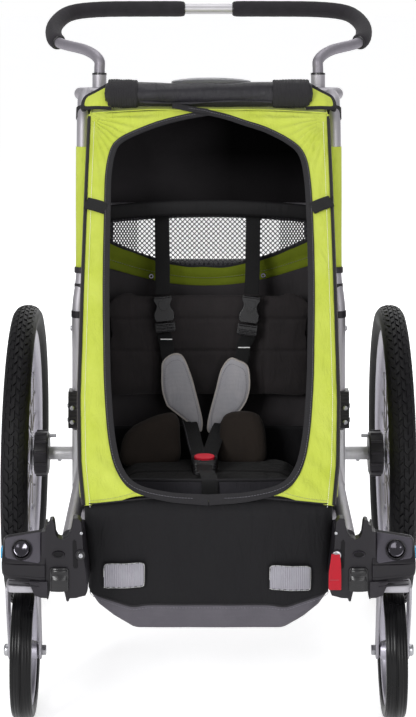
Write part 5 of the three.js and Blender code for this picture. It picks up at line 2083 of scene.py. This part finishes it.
CRADLE = ((243, 293), (237.4, 293.2), (236.6, 301.5), (232.2, 303.4), (231.6, 309.5), (226.4, 310.3),
          (224.6, 306), (222.6, 290), (219.6, 284.2), (213, 282), (206.2, 285), (200.6, 294), (197.8, 310.8),
          (196.6, 312.2), (190, 312.4), (185.2, 307), (183.4, 285), (182, 262), (178.4, 230), (176.4, 206),
          (179, 200), (186, 198.4), (193, 196.4), (202.4, 196), (203.6, 191.6), (206.6, 191.4),
          (210.2, 206.6), (231, 206.6), (233.2, 194.6), (235.4, 194.4), (235.8, 216.6), (243, 217.6))
REAR_CRADLE = ((243, 286), (240, 288), (237.6, 262), (231, 258), (206, 258), (199.6, 264), (198.6, 288),
               (184, 286), (182, 262), (178.4, 230), (176.4, 207), (235, 207), (235.8, 217), (243, 218))


def facing_prism(name, s, outline, y, depth, material, edge_mm, segments=3):
    """An outline of (x, z), seen from the front, pushed back from y; s mirrors it."""
    return prism(name, [(s * x, z) for x, z in outline], lambda a, b, c: at(a, y + c, b), depth, material,
                 edge_mm, segments)


def cradle(s):
    """The inner half: two horns round the frame tube, a socket below them and fins under its edge."""
    return [facing_prism("front", s, CRADLE, -586, 20, PLASTIC, 1.7),
            facing_prism("rear", s, REAR_CRADLE, -567, 65, PLASTIC, 1.5)]


def skirt(s):
    """The thin wall that hangs in front of the fork's crown."""
    outline = [(234, 222), (261, 223), (257.5, 213), (252.6, 202), (243, 198.6), (234, 198)]
    return facing_prism("skirt", s, outline, -591.6, 3.4, PLASTIC, 0.9, 2)


def oval(cx, cz, rx, rz, count=40):
    return [(cx + rx * math.cos(2 * math.pi * k / count), cz + rz * math.sin(2 * math.pi * k / count))
            for k in range(count)]


def oval_slot(s):
    """An oval opening with a moulded lip; the hollow's shade is painted as a flat disc of black cloth inside
    the lip.
    """
    lip_out, lip_in = oval(218.4, 260.4, 9.4, 5.6), oval(218.4, 260.4, 7.2, 3.7)
    crest = [(x * 0.6 + u * 0.4, z * 0.6 + w * 0.4) for (x, z), (u, w) in zip(lip_out, lip_in)]
    rows = [[at(s * x, y, z) for x, z in line]
            for line, y in ((lip_out, -586.2), (crest, -588.6), (lip_in, -587.8), (lip_in, -584.4))]
    lip = sheet("lip", rows, PLASTIC, 0, closed=True)
    inside = [at(s * x, -586.6, z) for x, z in lip_in]
    # painted shade: a flat black disc stands for the dark hollow inside the lip
    dark = add_mesh("dark", inside, [tuple(range(len(inside)))], LINING, None)
    return [lip, dark]


def tow_socket(s):
    """A glossy barrel with two ridges on a rounded shell, where the tow arm's socket is."""
    outline = [(203.5, 209), (205.4, 206.8), (229, 206.8), (231.4, 209), (231.4, 238), (228.4, 241.6),
               (206.4, 241.6), (203.5, 238)]
    shell = facing_prism("shell", s, outline, -589.6, 6, GLOSS, 1.6)
    barrel = []
    for z in np.linspace(207.5, 241, 44):
        ridge = 1.5 * math.exp(-((z - 236.5) / 2.2) ** 2) + 1.5 * math.exp(-((z - 224) / 2.4) ** 2)
        ridge -= 1.4 * math.exp(-((z - 230.5) / 1.8) ** 2)
        pinch = max(0, abs(z - 224.2) - 14) * 0.5
        barrel.append([at(s * (217.4 + (11.6 + ridge * 0.4 - pinch) * math.sin(a)),
                          -588.4 - (3.4 + ridge - pinch * 0.5) * math.cos(a), z)
                       for a in np.linspace(-math.pi / 2, math.pi / 2, 26)])
    return [shell, sheet("barrel", barrel, GLOSS, 0.6, 0)]


def plate_shape(s):
    """The slanted cover with rounded corners round the release button."""
    corners = ((245, 26), (295.6, 17.5), (297.4, 14), (296, -9.5), (292.5, -12), (247, -19), (244.4, -16))
    return [(s * x, along) for x, along in corners]


def build_cover_plate(tag, s):
    plate = prism("plate", plate_shape(s), lambda a, b, c: on_plate(a, b, 0.4 + c), 3.4, COVER, 1.5, 4)
    profile = ((12.3, 2.0), (14.6, 2.0), (15.0, 3.0), (14.4, 8.4), (13.6, 9.4), (12.7, 9.0), (12.3, 8.0))
    rim = lathe_about("rim", profile, on_plate(s * CASTER_X, 0, 0), PLATE_OUT, GLOSS)
    ride(join(f"cover_plate_shell_{tag}", [plate, rim]), "base", f"cover_plate_{tag}", slot="cover_plastic")


def build_brackets():
    for tag, s in SIDES:
        low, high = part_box(f"caster_release_button_{tag}")
        centre = (low + high) / 2
        profile = [(0.2, 11.2), (5.0, 11.5), (7.6, 12.4), (9.4, 12.8), (10.8, 12.4), (11.6, 11), (11.8, 9),
                   (11.8, -4), (0.2, -4)]
        cap = lathe_about(f"release_button_cap_{tag}", profile, centre, PLATE_OUT, CHROME)
        ride(cap, f"caster_button_{tag}", f"caster_release_button_{tag}", slot="bright_button")
        parts = [housing(s), skirt(s)] + cradle(s) + oval_slot(s) + tow_socket(s)
        # painted shade: a thin matte patch of black lining cloth stands for the dark moulded pocket
        painted_pocket_shade = ((190, 242), (191.4, 240), (195.6, 240), (197, 243), (198, 278), (196, 282), (192.6, 279))
        parts.append(facing_prism("painted_pocket_shade", s, painted_pocket_shade, -586.9, 2, LINING, 0.5))
        parts.append(rod("boss", at(s * 186.4, -584, 260), at(s * 186.4, -589, 260), 7.4, PLASTIC, 32, 1.4))
        for z in (214, 219.5):
            rib_in, rib_out = at(s * 247, -592.3, z + 1), at(s * 290, -591.2, z + 4.6)
            parts.append(rod("rib", rib_in, rib_out, 0.9, PLASTIC, 10, 0.3))
        body = join(f"caster_bracket_shell_{tag}", parts)
        ride(body, "base", f"caster_bracket_{tag}", slot="black_plastic")
        build_cover_plate(tag, s)
        pin = at(s * 185.8, -589.2, 259.6)
        ride(screw_head(f"bracket_screw_{tag}", pin, -Y, 3.5, 2.6), "base")
        finish = GLOSS if s < 0 else STEEL
        ride(rod(f"bracket_washer_{tag}", pin + Y * 0.0004, pin - Y * 0.0008, 6.5, finish), "base")
        ride(screw_head(f"horn_screw_{tag}", at(s * 185.2, -585.6, 291), -Y, 2.4, 1.8), "base")
    build_ribbon()


def build_ribbon():
    """The red tether: a doubled tape hanging from its washer, a little wider at the fold."""
    path = smooth(((184.4, -592.2, 262), (184.2, -592.8, 250), (183.2, -593.6, 236), (183, -594.4, 222),
                   (183.2, -592.8, 211.4)), 8)
    front = strap("front", path, -Y, lambda t: 12.4 + 6 * min(1, t * 1.9), 1.3, RIBBON)
    behind = [p + Y * 0.0026 for p in path]
    back = strap("back", behind, -Y, lambda t: 12.4 + 5.6 * min(1, t * 1.9), 1.3, RIBBON)
    bend = [path[-1] + Vector((side * 0.0084, 0.0012, 0)) for side in (-1, 1)]
    fold = strap("fold", bend, -Z, 3.6, 1.4, RIBBON)
    seam = [at(176.5, -594.8, 226), at(189.5, -594.8, 226)]
    thread = stitches("thread", seam, -Y, DARK_THREAD, 2.6, 1.7, 0.5, 0.4)
    ride(join("red_ribbon_loop", [front, back, fold, thread]), "base", "red_pull_strap", slot="red_ribbon")


def side_release_buckle(name, top, bottom):
    """A side-release buckle on 25 mm webbing: a waisted body, two prongs' shoulders and a ladder lock."""
    down = (bottom - top).normalized()
    across = Vector((-down.z, 0, down.x)).normalized()
    out = down.cross(across)
    if out.y > 0:
        out = -out
    length = (bottom - top).length * 1000

    def place(a, b, c):
        return top + across * (a / 1000) + down * (b / 1000) + out * (c / 1000)

    def part(outline, base, depth, edge=1.2):
        return prism("part", outline, lambda a, b, c: place(a, b, base + c), depth, GLOSS, edge, 3)

    waist = length * 0.42
    flank = [(15.8, 7), (12.6, 13), (11.6, waist * 0.62), (13.4, waist - 4), (17, waist + 2),
             (17, waist + 12), (14, waist + 17)]
    body = [(-15.5, 0), (15.5, 0)] + flank + [(-a, b) for a, b in reversed(flank)]
    lock = [(-17, waist + 19), (17, waist + 19), (17.4, length - 3), (15, length), (-15, length),
            (-17.4, length - 3)]
    parts = [part(body, -3.5, 7.0), part(lock, -3.0, 4.6)]
    arrow = [(-7, 8), (7, 8), (8.6, waist * 0.6), (4, waist * 0.95), (-4, waist * 0.95), (-8.6, waist * 0.6)]
    parts.append(part(arrow, 3.2, 1.3, 0.5))
    for b in (2.2, waist + 21.5, length - 8.5, length - 3.4):
        parts.append(rod("bar", place(-14.6, b, 2.6), place(14.6, b, 2.6), 1.9, GLOSS, 16, 0.6))
    for side in (-1, 1):
        root, tip = place(side * 14.2, waist - 1, 0), place(side * 15.2, waist + 12, 0)
        parts.append(rod("prong", root, tip, 2.6, GLOSS, 16, 1))
    return join(name, parts)


# ---------------------------------------------------------------- stage, light and camera
def build_stage():
    floor_mat = Nodes("pale_floor")
    cloud = floor_mat.noise(3, 2)
    floor_mat.colour(floor_mat.mix(cloud, (0.88, 0.88, 0.89, 1), (0.92, 0.92, 0.92, 1)))
    floor_mat.set(Roughness=0.7, Specular_IOR_Level=0.2, Emission_Color=(1, 1, 1, 1), Emission_Strength=0.42)
    # seen by the camera, the floor glows up to white; its light on the trailer stays modest
    seen = floor_mat.add("ShaderNodeLightPath")
    glow = floor_mat.span(seen.outputs["Is Camera Ray"], 0.34, 0.62)
    floor_mat.link(glow, floor_mat.shader.inputs["Emission Strength"])
    reach = 14
    corners = [(-reach, -reach, 0), (reach, -reach, 0), (reach, reach, 0), (-reach, reach, 0)]
    floor = add_mesh("stage_floor", corners, [(0, 1, 2, 3)], floor_mat.material)
    world = bpy.data.worlds.new("studio")
    bpy.context.scene.world = world
    world.use_nodes = True
    tree = world.node_tree
    light = tree.nodes["Background"]
    light.inputs["Color"].default_value = (0.98, 0.985, 1, 1)
    light.inputs["Strength"].default_value = 0.42
    backdrop = tree.nodes.new("ShaderNodeBackground")
    backdrop.inputs["Color"].default_value = (1, 1, 1, 1)
    rays = tree.nodes.new("ShaderNodeLightPath")
    either = tree.nodes.new("ShaderNodeMixShader")
    tree.links.new(rays.outputs["Is Camera Ray"], either.inputs[0])
    tree.links.new(light.outputs[0], either.inputs[1])
    tree.links.new(backdrop.outputs[0], either.inputs[2])
    tree.links.new(either.outputs[0], tree.nodes["World Output"].inputs["Surface"])
    for name, place, aim, size, watts in (
            ("key", (-1.8, -3.3, 1.7), (0, 0, 0.5), 1.1, 66),
            ("fill", (1.4, -3.4, 1.1), (0, 0, 0.5), 1.8, 30),
            ("top", (0, 0.4, 2.8), (0, 0, 0.5), 1.6, 16),
            ("rear", (0.4, 2.8, 1.6), (0, 0, 0.5), 2.4, 36)):
        light = bpy.data.lights.new(name, "AREA")
        light.size = size
        light.energy = watts
        lamp = bpy.data.objects.new(name, light)
        lamp.location = place
        lamp.rotation_euler = (Vector(aim) - Vector(place)).to_track_quat("-Z", "Y").to_euler()
        bpy.context.scene.collection.objects.link(lamp)
    scene = bpy.context.scene
    scene.view_settings.view_transform = "Standard"


def build_camera():
    """A level camera with a shifted lens, which keeps upright lines parallel."""
    data = bpy.data.cameras.new("camera")
    data.lens = 111.0
    camera = bpy.data.objects.new("camera", data)
    camera.location = at(0, -3799, 1273)
    camera.rotation_euler = (math.radians(90), 0, 0)
    bpy.context.scene.collection.objects.link(camera)
    bpy.context.scene.camera = camera
    # other views turn the camera with quaternions, and the lens then goes back to its middle
    for path, shift in (("shift_x", -0.001), ("shift_y", -0.6986)):
        curve = data.driver_add(path)
        curve.driver.type = "SUM"
        source = curve.driver.variables.new()
        source.type = "SINGLE_PROP"
        source.targets[0].id = camera
        source.targets[0].data_path = "rotation_mode"
        while curve.modifiers:
            curve.modifiers.remove(curve.modifiers[0])
        for mode, value in ((0, 0.0), (1, shift)):
            key = curve.keyframe_points.insert(mode, value)
            key.interpolation = "LINEAR"


build_base_frame()
build_axle()
build_upright()
build_fold_locks()
build_handlebar()
for side_tag, side_sign in SIDES:
    build_rear_wheel(side_tag, side_sign)
    build_caster(side_tag, side_sign)
build_cad_nodes()
build_brackets()
build_tub()
build_canopy()
build_upper_lining()
build_inside_strip()
build_seat()
build_harness()
build_roll()
build_bag()
build_stage()
build_camera()
